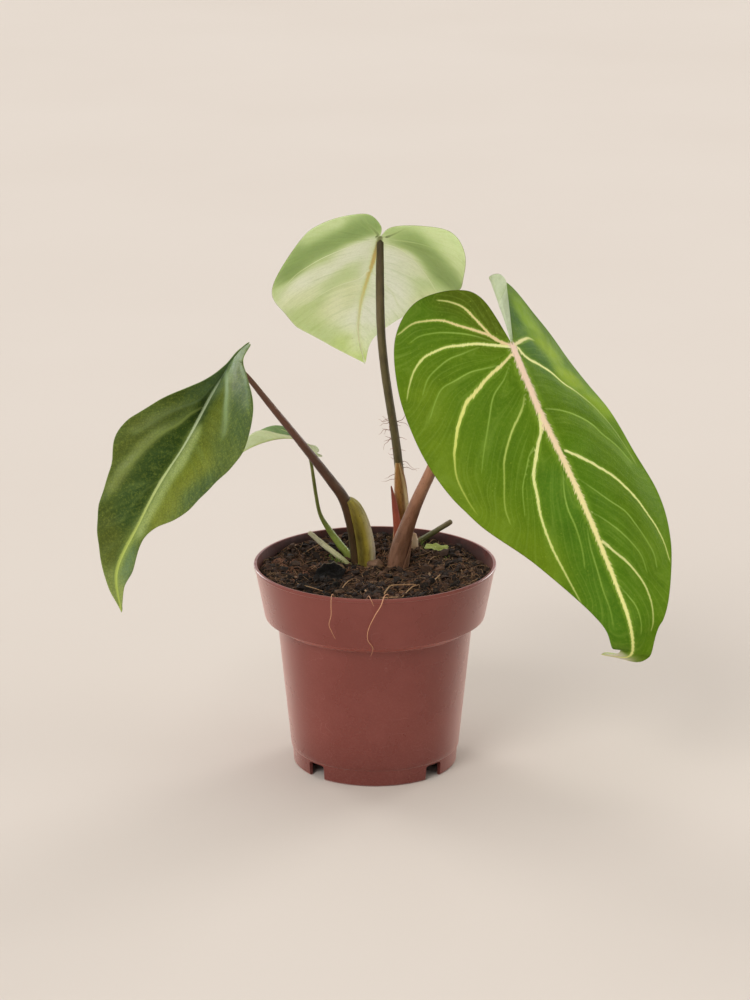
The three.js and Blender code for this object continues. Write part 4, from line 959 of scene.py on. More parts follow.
# Stems: a closed cross-section carried along each path
def sweepPaths(paths, sections, reference=(0.0, -1.0, 0.0)):
    # corner = path point + side * x + front * y, where front is the reference made square to the path
    ways = unit(np.gradient(paths, axis=1))
    front = np.asarray(reference, float) * np.ones_like(ways)
    front = unit(front - ways * np.sum(front * ways, axis=-1, keepdims=True))
    side = np.cross(ways, front)
    rings = paths[:, :, None] + side[:, :, None] * sections[..., :1] + front[:, :, None] * sections[..., 1:]
    count, steps, sides = rings.shape[:3]
    ringCorners = rings.reshape(-1, 3)
    ends = np.concatenate([rings[:, 0].mean(axis=1), rings[:, -1].mean(axis=1)])
    starts = np.arange(count)[:, None] * steps * sides
    faces = (gridFaces(steps, sides, closed=True) + starts[:, None]).reshape(-1, 3)
    # two caps: each corner of an end ring, the next one and the middle of the ring
    j = np.arange(sides)
    tops = starts + (steps - 1) * sides
    low = len(ringCorners) + np.arange(count)[:, None] + 0 * j
    high = low + count
    lowCap = np.stack([low, starts + (j + 1) % sides, starts + j], -1).reshape(-1, 3)
    highCap = np.stack([high, tops + j, tops + (j + 1) % sides], -1).reshape(-1, 3)
    return np.concatenate([ringCorners, ends]), np.concatenate([faces, lowCap, highCap])


def spreadValues(data, count, steps, sides):
    # a value for each ring of each path, repeated round the ring and at the two end points
    data = np.broadcast_to(data, (count, steps) + np.shape(data)[2:])
    around = np.repeat(data.reshape((count * steps,) + data.shape[2:]), sides, axis=0)
    return np.concatenate([around, data[:, 0], data[:, -1]])


def stemSpace(lengths, sides, count=1):
    # (cosine, sine) of the turn round the stem, and the length along it shrunk, so that noise makes streaks
    turn = 2 * pi * np.arange(sides) / sides
    shrunk, apart = 0.05, 3.7  # apart gives each strand a pattern of its own
    space = np.zeros((count, lengths.shape[-1], sides, 3))
    space[..., 0], space[..., 1] = np.cos(turn), np.sin(turn)
    space[..., 2] = shrunk * lengths[..., None]
    space += np.arange(count)[:, None, None, None] * apart
    flat = space.reshape(-1, 3)
    return np.concatenate([flat, space[:, 0].mean(axis=1), space[:, -1].mean(axis=1)])


def stemMaterial(name, look, glow=0.05, shine=0.4, depth=0.12):
    material, tree, shader = newMaterial(name, Specular_IOR_Level=shine, Subsurface_Weight=glow,
                                         Subsurface_Scale=0.0008, Subsurface_Radius=(1.0, 0.8, 0.4))
    skin = useGroup(tree, stemSkin, {
        "place": objectPlace(tree), "stemSpace": read(tree, "stemSpace", "Vector"),
        "tint": read(tree, "tint", "Color"), "thinEdge": read(tree, "thinEdge"),
        **linearLook({**stemLook, **look})})
    finish(tree, shader, skin["colour"], skin["roughness"], skin["height"], depth, 0.8)
    return material


def roundStem(stem, material, steps=160, sides=28):
    # radius = the run of radii, rounded over its last 0.7 radii, times low ridges and lumps round the turn
    line = measureLine(stem["path"])
    lengths = np.linspace(0, line["total"], steps)
    t = lengths / line["total"]
    centre = onLine(line, lengths)[0]
    turn = 2 * pi * np.arange(sides) / sides
    radius = smoothRun(stem["radii"], t)
    past = np.maximum((t - 1) * line["total"] / (0.7 * radius[-1]) + 1, 0)
    radius = radius * np.sqrt(np.clip(1 - past ** 2, 0.04, 1))
    ridge, along = stem.get("ridge", 0.03), lengths[:, None]
    wave = 1 + ridge * np.cos(3 * turn + 0.02 * along) + 0.5 * ridge * np.cos(7 * turn + 1 + 0.05 * along)
    lumps = softNoise(along + 0 * turn, 3 * np.cos(turn) + 0 * along, 2.5, stem.get("seed", 3))
    reach = radius[:, None] * wave * (1 + stem.get("lumps", 0.02) * lumps)
    sections = np.stack([reach * np.cos(turn), stem.get("flatten", 1) * reach * np.sin(turn)], -1)
    places, faces = sweepPaths(centre[None], sections[None])
    tint = smoothRun(stem["tints"], t)[:, None, :] + 0 * turn[None, :, None]
    if "sideTint" in stem:
        share = (smoothStep(np.cos(turn - radians(stem["sideAngle"])), 0.1, 0.9) * 0.8)[None, :, None]
        tint = tint * (1 - share) + share * np.asarray(stem["sideTint"], float)
    ends = [tint[end].mean(axis=0)[None] for end in (0, -1)]
    values = {"tint": np.concatenate([tint.reshape(-1, 3), *ends]), "thinEdge": np.zeros(len(places)),
              "stemSpace": stemSpace(lengths[None], sides)}
    return makePiece(stem["name"], places, faces, material, [stem["node"]], values)


leftPetioleSkin = stemMaterial("leftPetioleSkin", {"streakTint": (120, 84, 60)})
backPetioleSkin = stemMaterial("backPetioleSkin", {"streakTint": (128, 112, 70), "fibreTint": (54, 44, 26),
                                                   "coarse": 1.2})
rightPetioleSkin = stemMaterial("rightPetioleSkin", {"streakTint": (190, 142, 116),
                                                     "fibreTint": (124, 80, 60), "edgeTint": (160, 116, 90)})
greenStemSkin = stemMaterial("greenStemSkin", {"streakTint": (164, 174, 86), "fibre": 0.25,
                                               "fibreTint": (96, 104, 40), "spotTint": (90, 80, 34)})
petioleLeft = {
    "name": "petioleLeft", "node": "petiole_left",
    "path": [[-9, 20, 84], [-9, 20, 97], [-10, 18, 109], [-12, 14, 121], [-15.5, 11, 132.5], [-22, 8, 143],
             [-32.5, 5, 158], [-43, 2, 172.5], [-53, 0, 186], [-61.5, -1.5, 197.5], [-69, -4.6, 206.5]],
    "radii": [3, 3.3, 3.2, 3, 2.6, 2.3, 2, 1.8, 1.6, 1.3, 1],
    "tints": [(74, 62, 34), (70, 60, 32), (76, 60, 34), (82, 60, 38), (84, 56, 40), (96, 62, 46),
              (112, 70, 54), (118, 74, 56), (120, 78, 58), (116, 84, 60)],
    "sideTint": (62, 50, 30), "sideAngle": 200,
}
petioleBack = {
    "name": "petioleBack", "node": "petiole_back",
    "path": [[13, 30, 84], [13, 30, 98], [13.5, 28, 116], [13, 25, 133], [11.5, 21, 149.5], [9.5, 17, 166],
             [7, 13, 182.5], [4.5, 9, 201.5], [3, 6, 219.5], [2.5, 4, 240], [2.5, 3.2, 254],
             [2.6, 3.6, 264.8]],
    "radii": [2.6, 2.6, 2.4, 2.3, 2.2, 2.1, 2.1, 2.1, 2.1, 2.1, 2, 1.6],
    "tints": [(110, 80, 46), (112, 84, 48), (110, 88, 52), (96, 84, 50), (90, 82, 48), (92, 84, 50),
              (98, 88, 54), (102, 90, 58), (104, 90, 60), (92, 76, 48), (70, 58, 34)],
    "sideTint": (70, 60, 34), "sideAngle": 20, "seed": 5,
}
petioleRight = {
    "name": "petioleRight", "node": "petiole_right",
    "path": [[11, 12, 84], [11, 12, 97], [13, 10.5, 108.5], [17, 7, 122.5], [21.5, 3, 135.5],
             [27, 1, 148.5], [36.5, -3, 171.5], [52, -8, 195.5], [65.4, -16.6, 216.4]],
    "radii": [5.2, 5, 3.8, 3.1, 2.8, 2.5, 2.3, 2.1, 1.3],
    "tints": [(100, 68, 46), (104, 70, 48), (128, 86, 60), (164, 112, 80), (188, 132, 98), (190, 134, 98),
              (186, 130, 98), (180, 128, 98)],
    "sideTint": (112, 72, 50), "sideAngle": 10, "seed": 8,
}
stemSmall = {
    "name": "stemSmall", "node": "stem_small",
    "path": [[-13.5, 28, 84], [-13.5, 28, 96.5], [-18, 29.7, 103], [-23, 31, 110], [-27.5, 30, 118.5],
             [-29.5, 28, 129], [-30.5, 25, 137.5], [-31.5, 21, 146.5], [-32.8, 16.8, 155]],
    "radii": [1.9, 2, 1.9, 1.5, 1, 0.9, 0.9, 0.8, 0.7],
    "tints": [(150, 164, 70), (148, 166, 68), (144, 162, 66), (126, 138, 60), (114, 120, 54),
              (112, 116, 54), (118, 124, 58), (130, 138, 72)],
    "seed": 11,
}
roundStem(petioleLeft, leftPetioleSkin)
roundStem(petioleBack, backPetioleSkin)
roundStem(petioleRight, rightPetioleSkin)
roundStem(stemSmall, greenStemSkin, 120, 18)


def wrapSheath(sheath, stem, material, steps=90, pieces=26):
    # an arc round the petiole: outer = inner + (skin, less towards edges and top) + bulge * cosine + ribs
    line = measureLine(stem["path"])
    lengths = np.linspace(0, sheath["upTo"] * line["total"], steps)
    t, share = lengths / line["total"], np.linspace(0, 1, steps)
    centre = onLine(line, lengths)[0]
    inner = (smoothRun(stem["radii"], t) + 0.38)[:, None]
    half = np.radians(smoothRun(sheath["halfAngle"], share))[:, None]
    bulge = smoothRun(sheath["bulge"], share)[:, None]
    s = np.linspace(-1, 1, pieces)[None]
    angle = radians(sheath["faces"]) + half * s
    skin = sheath["edge"] * (1 - 0.75 * np.abs(s) ** 4) * (1 - 0.7 * smoothStep(share, 0.8, 1))[:, None]
    ribs = sheath["ribs"] * np.cos(9 * pi * s + 0.6) * (1 - s * s)
    top = np.sqrt(np.clip(1 - ((share - sheath["roundFrom"]) / (1 - sheath["roundFrom"])) ** 2, 0.02, 1))
    top = np.where(share > sheath["roundFrom"], top, 1)[:, None]
    outer = inner + (skin + bulge * np.cos(pi * s / 2) + ribs * np.minimum(bulge, 1)) * top
    flare = sheath["flare"] * smoothStep(share, 0.7, 1)[:, None] * np.ones_like(s)
    outside, inside = (np.stack([(reach + flare) * np.cos(angle), (reach + flare) * np.sin(angle)], -1)
                       for reach in (outer, inner))
    inside = inside[:, ::-1]
    places, faces = sweepPaths(centre[None], np.concatenate([outside, inside], axis=1)[None])
    across = np.concatenate([s, s[:, ::-1]], axis=1) * np.ones((steps, 1))
    tint = smoothRun(sheath["tints"], (across + 1) / 2)
    upper = sheath.get("topShare", 0.75) * smoothStep(share, 0.55, 1)[:, None, None]
    tint = tint * (1 - upper) + upper * np.asarray(sheath["topTint"], float)
    edge = smoothStep(np.abs(across), sheath["edgeFrom"], 1)
    if "oneEdge" in sheath:  # only the edge on that side shows pale
        edge = edge * (across * sheath["oneEdge"] > 0)
    flat, thin = tint.reshape(-1, 3), edge.ravel()
    values = {"tint": np.concatenate([flat, flat[:1], flat[-1:]]),
              "thinEdge": np.concatenate([thin, thin[:1], thin[-1:]]),
              "stemSpace": stemSpace(lengths[None], 2 * pieces)}
    return makePiece(sheath["name"], places, faces, material, sheath["nodes"], values, 50)


sheathLeft = {
    "name": "sheathLeft", "slot": "sheath_left", "nodes": ["sheath_left"], "faces": 14,
    "halfAngle": [62, 66, 68, 68, 66, 56], "bulge": [3.2, 4.5, 5.1, 4.9, 4.0, 2.4], "edge": 0.7,
    "upTo": 0.345, "roundFrom": 0.9, "ribs": 0.3, "flare": 0.0,
    "tints": [(238, 230, 216), (238, 230, 216), (238, 230, 216), (238, 230, 218), (238, 230, 212),
              (228, 214, 166), (184, 164, 62), (94, 80, 28), (146, 130, 44)],
    "topTint": (148, 132, 46), "edgeFrom": 0.9, "oneEdge": -1,
}
sheathBack = {
    "name": "sheathBack", "slot": "sheath_back", "nodes": ["sheath_back"], "faces": 95,
    "halfAngle": [115, 120, 118, 110, 85, 30], "bulge": [1.2, 1.6, 1.6, 1.3, 0.7, 0.1], "edge": 0.6,
    "upTo": 0.36, "roundFrom": 0.97, "ribs": 0.12, "flare": 0.1,
    "tints": [(130, 90, 60), (120, 80, 52), (122, 80, 50), (212, 188, 146), (218, 196, 154), (104, 74, 34),
              (138, 98, 38), (154, 104, 44), (172, 112, 60), (178, 120, 76), (216, 192, 158),
              (220, 200, 170), (220, 204, 170)],
    "topTint": (148, 124, 50), "topShare": 0.35, "edgeFrom": 0.93,
}
sheathRight = {
    "name": "sheathRight", "slot": "petiole_right", "nodes": [], "faces": 20,
    "halfAngle": [56, 52, 44, 32, 18, 8], "bulge": [0.2, 0.25, 0.2, 0.1, 0.0, 0.0], "edge": 0.3, "upTo": 0.2,
    "roundFrom": 0.95, "ribs": 0.05, "flare": 0.0,
    "tints": [(112, 76, 56), (128, 88, 66), (138, 96, 72), (128, 88, 66), (114, 78, 56), (106, 72, 52),
              (140, 100, 78)],
    "topTint": (142, 100, 76), "edgeFrom": 0.93,
}
leftSheathSkin = stemMaterial("leftSheathSkin", {
    "streak": 0.3, "streakTint": (96, 78, 30), "fibre": 0.18, "fibreTint": (186, 172, 90),
    "edgeTint": (222, 220, 190), "coarse": 2.6}, glow=0.15)
backSheathSkin = stemMaterial("backSheathSkin", {
    "streak": 0.4, "streakTint": (110, 66, 36), "fibreTint": (190, 140, 96),
    "edgeTint": (206, 180, 146), "coarse": 2.2}, glow=0.15)
wrapSheath(sheathLeft, petioleLeft, leftSheathSkin)
wrapSheath(sheathBack, petioleBack, backSheathSkin)
wrapSheath(sheathRight, petioleRight, rightPetioleSkin)

# Shoots and cut stubs
budSkin = stemMaterial("budSkin", {"streakTint": (186, 96, 74), "fibreTint": (110, 50, 36)}, glow=0.1)
drySkin = stemMaterial("drySkin", {"streakTint": (150, 120, 84), "fibreTint": (110, 84, 56), "spots": 0.2,
                                   "roughFrom": 0.6, "roughTo": 0.8}, shine=0.25, depth=0.2)
creamSkin = stemMaterial("creamSkin", {"streak": 0.25, "streakTint": (196, 150, 112), "fibre": 0.15,
                                       "fibreTint": (230, 204, 172), "spotTint": (150, 104, 74),
                                       "roughFrom": 0.55, "roughTo": 0.75})
stubLeftSkin = stemMaterial("stubLeftSkin", {"streakTint": (200, 196, 160), "fibreTint": (120, 130, 76),
                                             "spots": 0.3, "spotTint": (90, 110, 50),
                                             "roughFrom": 0.55, "roughTo": 0.75})
stubRightSkin = stemMaterial("stubRightSkin", {"streakTint": (120, 118, 74), "fibreTint": (62, 58, 36),
                                               "roughFrom": 0.5, "roughTo": 0.7})
roundStem({"name": "budScale", "node": "bud_scale", "flatten": 0.55, "ridge": 0.06, "seed": 14,
           "path": [[12, 20.6, 84], [12, 20.6, 100], [11.6, 20.4, 110], [10.6, 19.8, 120], [9.4, 19.2, 129],
                    [8, 18.6, 137]],
           "radii": [2, 2.2, 2.2, 2, 1.4, 0.3],
           "tints": [(156, 104, 72), (156, 100, 68), (162, 94, 66), (164, 84, 60), (150, 68, 54),
                     (112, 60, 48)]},
          budSkin, 80, 18)
roundStem({"name": "stubLeft", "node": "stub_left", "ridge": 0.06, "lumps": 0.08, "seed": 16,
           "path": [[-12.2, 14.6, 96.2], [-18, 20, 99.3], [-26, 27.4, 103.4], [-33.5, 34, 108]],
           "radii": [1.2, 1.3, 1.3, 1.2],
           "tints": [(150, 150, 92), (206, 200, 152), (226, 216, 178), (226, 214, 180)]},
          stubLeftSkin, 60, 18)
roundStem({"name": "stubRight", "node": "stub_right", "ridge": 0.06, "lumps": 0.06, "seed": 18,
           "path": [[10.4, 45.5, 91.5], [18, 44, 97.2], [28.5, 42, 104.6], [39, 40, 112]],
           "radii": [1.4, 1.45, 1.4, 1.35],
           "tints": [(86, 84, 48), (94, 96, 54), (98, 94, 56), (128, 108, 76)]},
          stubRightSkin, 60, 18)
roundStem({"name": "creamScale", "node": "cream_scale", "flatten": 0.45, "ridge": 0.08, "lumps": 0.1,
           "seed": 20, "path": [[19.2, 38.4, 93], [19.2, 38.4, 98], [19.4, 38.4, 102.4], [20, 38.4, 106.2]],
           "radii": [2.3, 2.5, 2.3, 1.0],
           "tints": [(200, 150, 122), (250, 204, 176), (255, 226, 206), (250, 208, 182)]}, creamSkin, 40, 16)
roundStem({"name": "rhizome", "node": "rhizome", "ridge": 0.08, "lumps": 0.3, "seed": 22,
           "path": [[-3.4, 12.5, 97.6], [-0.8, 11.4, 98.3], [2.2, 10.6, 97.9], [4.0, 9.4, 96.8]],
           "radii": [1.5, 2.6, 2.5, 1.1],
           "tints": [(104, 78, 62), (126, 94, 78), (132, 100, 84), (100, 74, 60)]}, drySkin, 60, 30)
print("the stems are made")


# Roots over the rim, and other thin strands
def makeStrands(name, paths, radii, tints, material, nodes=(), sides=4,
                reference=(0.31, -0.52, 0.79)):
    # paths is (strand, step, 3) and radii (strand, step); tints fits (strand, step, 3)
    turn = 2 * pi * np.arange(sides) / sides
    sections = radii[..., None, None] * np.stack([np.cos(turn), np.sin(turn)], -1)
    places, faces = sweepPaths(paths, sections, reference)
    count, steps = radii.shape
    lengths = np.broadcast_to(np.linspace(0, 8, steps), (count, steps))
    values = {"tint": spreadValues(tints, count, steps, sides), "thinEdge": np.zeros(len(places)),
              "stemSpace": stemSpace(lengths, sides, count)}
    return makePiece(name, places, faces, material, nodes, values)


rootSkin = stemMaterial("rootSkin", {"streakTint": (222, 174, 136), "fibreTint": (158, 104, 74),
                                     "spotTint": (150, 98, 70), "roughFrom": 0.5, "roughTo": 0.7}, depth=0.05)
bristleSkin = stemMaterial("bristleSkin", {"streakTint": (150, 96, 70), "fibreTint": (96, 58, 42),
                                           "roughFrom": 0.6, "roughTo": 0.8}, depth=0.03)
rootRuns = {
    "root_one": ("rootOne", [[-19.5, -40, 97.8], [-19.4, -48, 99.6], [-20.2, -55, 104.5], [-20.8, -59, 104.6],
                             [-21, -60.5, 101], [-21, -59.6, 95.5], [-22, -58.8, 90.5], [-20.5, -57.8, 86],
                             [-19, -56.8, 82.5]],
                 [0.18, 0.2, 0.2, 0.19, 0.18, 0.18, 0.17, 0.15, 0.08]),
    "root_two": ("rootTwo", [[-6, -44, 96.9], [-4.5, -51, 99.6], [-3.2, -56.5, 104.1],
                             [-2.4, -60.2, 104.5], [-1.4, -61.3, 102.6], [-0.6, -61.2, 100.6]],
                 [0.2, 0.22, 0.22, 0.2, 0.18, 0.1]),
    "root_three": ("rootThree", [[6.5, -42, 98], [6.6, -50, 100.6], [6.2, -56.5, 105], [4.4, -60.4, 105.2],
                                 [2.8, -62, 101], [-0.2, -61.2, 95.5], [-3.2, -59.2, 88], [-3.4, -57.2, 82],
                                 [-1, -55.4, 77.4], [-2, -54.6, 73]],
                   [0.2, 0.22, 0.24, 0.24, 0.23, 0.22, 0.2, 0.18, 0.15, 0.08]),
}
for node, (name, run, radii) in rootRuns.items():
    share = np.linspace(0, 1, 90)
    line = measureLine(run)
    path = onLine(line, share * line["total"])[0]
    tints = smoothRun([(150, 98, 66), (204, 146, 108), (208, 150, 112), (190, 132, 96)], share)[None]
    makeStrands(name, path[None], smoothRun(radii, share)[None], tints, rootSkin, [node], 8,
                (1.0, 0.2, 0.1))

# Bristles on the back petiole
bristles = {"count": 26, "from": 0.3, "upTo": 0.5, "long": (2.2, 8.4), "thick": 0.19, "seed": 34,
            "leftShare": 0.58, "inside": 1.9, "bow": 0.34, "wave": 0.14,
            "tints": [(120, 62, 42), (150, 84, 58), (172, 110, 82)]}
rng = np.random.default_rng(bristles["seed"])
line = measureLine(petioleBack["path"])
count = bristles["count"]
spot = onLine(line, line["total"] * rng.uniform(bristles["from"], bristles["upTo"], count))[0]
turn = np.where(rng.random(count) < bristles["leftShare"], pi, 0) + rng.normal(0, 0.6, count)
front = -np.abs(np.sin(turn)) * rng.choice([-1, 1], count)
out = unit(np.stack([np.cos(turn), front, rng.normal(-0.05, 0.28, count)], -1))
s = np.linspace(0, 1, 14)[None, :, None]
size = rng.uniform(*bristles["long"], count)[:, None, None]
sideways = unit(np.cross(out, rng.normal(0, 1, (count, 3))))[:, None]
bow = rng.normal(0, bristles["bow"], (count, 1, 1)) * s * s
wave = bristles["wave"] * np.sin(8 * s + rng.uniform(0, 6, (count, 1, 1))) * s
paths = spot[:, None] + out[:, None] * (bristles["inside"] + size * s) + sideways * size * (bow + wave)
radii = bristles["thick"] * (1 - 0.75 * s[..., 0]) * np.ones((count, 1))
tints = smoothRun(bristles["tints"], s[0, :, 0])[None]
makeStrands("bristles", paths, radii, tints, bristleSkin)
print("the roots and bristles are made")


# Soil: a low mound with lumps and crumbs, sunk round each stem so that nothing touches it
soilShape = {"level": 98.3, "hollow": 1.9, "bank": 2.0, "radius": 56.9, "seed": 41}
# places where the soil keeps below a height: x, y, radius, height and the slope of the sides
soilHollows = [
    (-9, 20, 3.9, 83.4, 14), (-5, 19, 4.9, 83.4, 14), (13, 30, 4.9, 83.4, 14), (11, 12, 5.6, 83.4, 14),
    (-13.5, 28, 2.4, 83.4, 14), (12, 20.6, 2.4, 83.4, 14), (19.2, 38.4, 2.9, 92.4, 8),
    (-12.2, 14.6, 1.5, 94.4, 2), (-14.2, 16.4, 1.5, 95.4, 2), (-16.4, 18.4, 1.5, 96.6, 2),
    (-18.8, 20.6, 1.5, 97.8, 2),
    (10.4, 45.5, 1.6, 89.8, 4), (13, 45, 1.6, 91.6, 4), (15.6, 44.5, 1.6, 93.4, 4), (18, 44, 1.6, 95.2, 4),
    (-3.4, 12.5, 2.2, 95.4, 1.5), (-0.5, 11.5, 3, 94.8, 1.5), (2.4, 10.6, 3, 94.8, 1.5),
    (31, 35.5, 6.4, 97.9, 0.8), (-24.5, -6, 7.5, 96.6, 0.8), (-20, -5, 7.5, 96.6, 0.8),
]


def soilTop(x, y):
    # level - a bell curve round the plant + banks at the back and left walls + four sizes of lumps, and
    # nowhere above the slopes of the hollows
    seed = soilShape["seed"]
    height = soilShape["level"] - soilShape["hollow"] * np.exp(-((x - 2) ** 2 + (y - 16) ** 2) / 330)
    bank = smoothStep(np.hypot(x, y), 26, 54) * smoothStep(y - 0.6 * x, -20, 30)
    height = height + soilShape["bank"] * bank
    height = height + 0.7 * np.sin(0.11 * x + 1.3) * np.cos(0.13 * y - 0.4)
    height = height + 0.9 * softNoise(x, y, 7, seed) + 1.0 * softNoise(x, y, 3, seed + 1)
    height = height + 0.6 * softNoise(x, y, 1.4, seed + 2) + 0.25 * softNoise(x, y, 0.7, seed + 3)
    height = height - 1.2 * smoothStep(np.hypot(x, y), 51, 57)
    for x0, y0, wide, low, slope in soilHollows:
        height = np.minimum(height, low + slope * np.maximum(np.hypot(x - x0, y - y0) - wide, 0))
    return height


def paintedShadowPart(x, y):
    # painted shadow: the black patch in front of the dark scale, a bell curve of the distance to its middle
    return 0.85 * np.exp(-((x + 26) ** 2 / 150 + (y + 24) ** 2 / 190))


def soilMaterial(name, dark, light, fleck):
    material, tree, shader = newMaterial(name, Specular_IOR_Level=0.22)
    place = objectPlace(tree)
    dirt = useGroup(tree, grime, {"place": place, "cloudSize": 7.0})
    damp = fade(noise(place, 16, 4.0, 0.6), 0.4, 0.62)
    colour = blend(dirt["cloud"], tone(*dark), tone(*light))
    colour = blend(times(damp, 0.6), colour, tone(60, 46, 36), "MULTIPLY")
    grains = add(tree, "ShaderNodeTexVoronoi", {"Vector": place, "Scale": 900.0}).outputs
    bright = add(tree, "ShaderNodeSeparateColor", {0: grains["Color"]}).outputs[0]
    colour = blend(fade(bright, 0.6, 1.0, 0.0, 0.5), colour, tone(*fleck))
    shade = fade(read(tree, "shade"), 0.0, 1.0, 0.9, 0.0)
    colour = blend(shade, colour, tone(70, 60, 54), "MULTIPLY")
    rough = fade(dirt["grain"], 0.3, 0.7, 0.78, 0.96)
    height = plus(times(grains["Distance"], 0.8), times(dirt["grain"], 0.7))
    finish(tree, shader, colour, rough, height, 0.5)
    return material


soilEarth = soilMaterial("soilEarth", (34, 23, 17), (76, 54, 40), (130, 98, 70))
rings, sides = 112, 250
# radius and height of the rings below the surface, from the middle of the floor up the pot's wall
below = np.array([[0, 9.7], [20, 9.7], [38.3, 9.7], [39.9, 11.4], [43, 41], [46.6, 74.1], [53, 77.9],
                  [56.2, 93.4]])
spin = 2 * pi * np.arange(sides) / sides
ringRadius = np.concatenate([below[:, 0], soilShape["radius"] * np.linspace(1, 0, rings) ** 0.92])
x, y = ringRadius[:, None] * np.cos(spin), ringRadius[:, None] * np.sin(spin)
z = soilTop(x, y)
z[:len(below)] = below[:, 1:]
places = np.stack([x, y, z], -1).reshape(-1, 3)
faces = gridFaces(len(ringRadius), sides, closed=True)
places[-sides:] = places[-sides]  # the last ring is one point
kept, _, faces = weld(places, faces)
# painted shade: the soil is darker low down, in the hollows round the stems, and in the painted shadow in
# front of the dark scale
shade = smoothStep(places[:, 2], 88, 95) * (1 - paintedShadowPart(places[:, 0], places[:, 1]))
makePiece("soilBed", places[kept], faces, soilEarth, ["soil"], {"shade": shade[kept]})

# Crumbs: one rough lump of twenty faces, turned, stretched and set into the soil many times over
golden = (1 + 5 ** 0.5) / 2
lump = np.array([[-1, golden, 0], [1, golden, 0], [-1, -golden, 0], [1, -golden, 0],
                 [0, -1, golden], [0, 1, golden], [0, -1, -golden], [0, 1, -golden],
                 [golden, 0, -1], [golden, 0, 1], [-golden, 0, -1], [-golden, 0, 1]]) / np.hypot(1, golden)
lumpFaces = np.array([[0, 11, 5], [0, 5, 1], [0, 1, 7], [0, 7, 10], [0, 10, 11], [1, 5, 9], [5, 11, 4],
                      [11, 10, 2], [10, 7, 6], [7, 1, 8], [3, 9, 4], [3, 4, 2], [3, 2, 6], [3, 6, 8],
                      [3, 8, 9], [4, 9, 5], [2, 4, 11], [6, 2, 10], [8, 6, 7], [9, 8, 1]])


def keepFree(x, y, room):
    # only the places that are not too near a stem or the wall
    clear = np.hypot(x, y) < 56.2 - room
    for x0, y0, wide, *_ in soilHollows:
        clear &= np.hypot(x - x0, y - y0) > wide + room + 0.3
    return x[clear], y[clear]


def scatter(rng, count, room):
    # random places on the soil: three times as many as asked for, as some are left out
    radius, turn = 56 * np.sqrt(rng.random(3 * count)), 2 * pi * rng.random(3 * count)
    x, y = keepFree(radius * np.cos(turn), radius * np.sin(turn), room)
    return x[:count], y[:count]


def randomTurns(rng, count):
    # unit quaternions as rotation matrices
    q = unit(rng.normal(size=(count, 4)))
    w, x, y, z = q.T
    return np.stack([1 - 2 * (y * y + z * z), 2 * (x * y - z * w), 2 * (x * z + y * w),
                     2 * (x * y + z * w), 1 - 2 * (x * x + z * z), 2 * (y * z - x * w),
                     2 * (x * z - y * w), 2 * (y * z + x * w), 1 - 2 * (x * x + y * y)], -1).reshape(-1, 3, 3)


def makeCrumbs(name, crumbs, material):
    # corner = place on the soil + turned (corner of the lump * roughness * stretch), flattened
    rng = np.random.default_rng(crumbs["seed"])
    x, y = scatter(rng, crumbs["count"], crumbs["size"][1])
    count = len(x)
    size = crumbs["size"][0] + (crumbs["size"][1] - crumbs["size"][0]) * rng.random(count) ** 3
    stretch = rng.uniform(*crumbs["stretch"], (count, 1, 3)) * size[:, None, None]
    rough = 1 + 0.28 * rng.normal(size=(count, 12, 1))
    shape = lump[None] * np.clip(rough, 0.5, 1.6) * stretch
    shape = np.einsum("nij,nkj->nki", randomTurns(rng, count), shape)
    shape[..., 2] *= crumbs["flat"]
    centre = np.stack([x, y, soilTop(x, y) + 0.25 * size], -1)
    places = (centre[:, None] + shape).reshape(-1, 3)
    faces = (lumpFaces[None] + 12 * np.arange(count)[:, None, None]).reshape(-1, 3)
    tint = np.asarray(crumbs["tints"], float)[rng.integers(0, len(crumbs["tints"]), count)]
    # crumbs in the painted shadow in front of the dark scale are darker
    tint = np.clip(tint * rng.uniform(0.75, 1.2, (count, 1)), 0, 255) * (1 - 0.75 * paintedShadowPart(x, y))[:, None]
    return makePiece(name, places, faces, material, [], {"tint": np.repeat(tint, 12, axis=0)}, 40)


def crumbMaterial(name):
    material, tree, shader = newMaterial(name, Specular_IOR_Level=0.25)
    dirt = useGroup(tree, grime, {"place": objectPlace(tree), "cloudSize": 3.0})
    colour = blend(fade(dirt["cloud"], 0.0, 1.0, 0.0, 0.45), read(tree, "tint", "Color"),
                   tone(96, 78, 64), "MULTIPLY")
    colour = blend(fade(dirt["grain"], 0.5, 0.8, 0.0, 0.3), colour, tone(130, 104, 80))
    rough = fade(dirt["grain"], 0.3, 0.7, 0.7, 0.95)
    finish(tree, shader, colour, rough, dirt["grain"], 0.3)
    return material


crumbSkin = crumbMaterial("crumbSkin")
makeCrumbs("soilCrumbs", {"count": 2400, "size": (0.35, 2.3), "stretch": (0.55, 1.25), "flat": 0.75,
                          "seed": 43, "tints": [(52, 34, 26), (68, 46, 34), (38, 26, 20), (90, 64, 48),
                                                (30, 21, 17), (62, 44, 34)]}, crumbSkin)
makeCrumbs("soilClods", {"count": 120, "size": (1.4, 3.1), "stretch": (0.6, 1.3), "flat": 0.6, "seed": 45,
                         "tints": [(44, 30, 23), (60, 42, 31), (34, 24, 19)]}, crumbSkin)
makeCrumbs("barkChips", {"count": 170, "size": (0.7, 2.0), "stretch": (0.3, 1.6), "flat": 0.5, "seed": 47,
                         "tints": [(116, 82, 58), (150, 112, 82), (88, 60, 44), (176, 142, 112),
                                   (104, 70, 48)]}, crumbSkin)


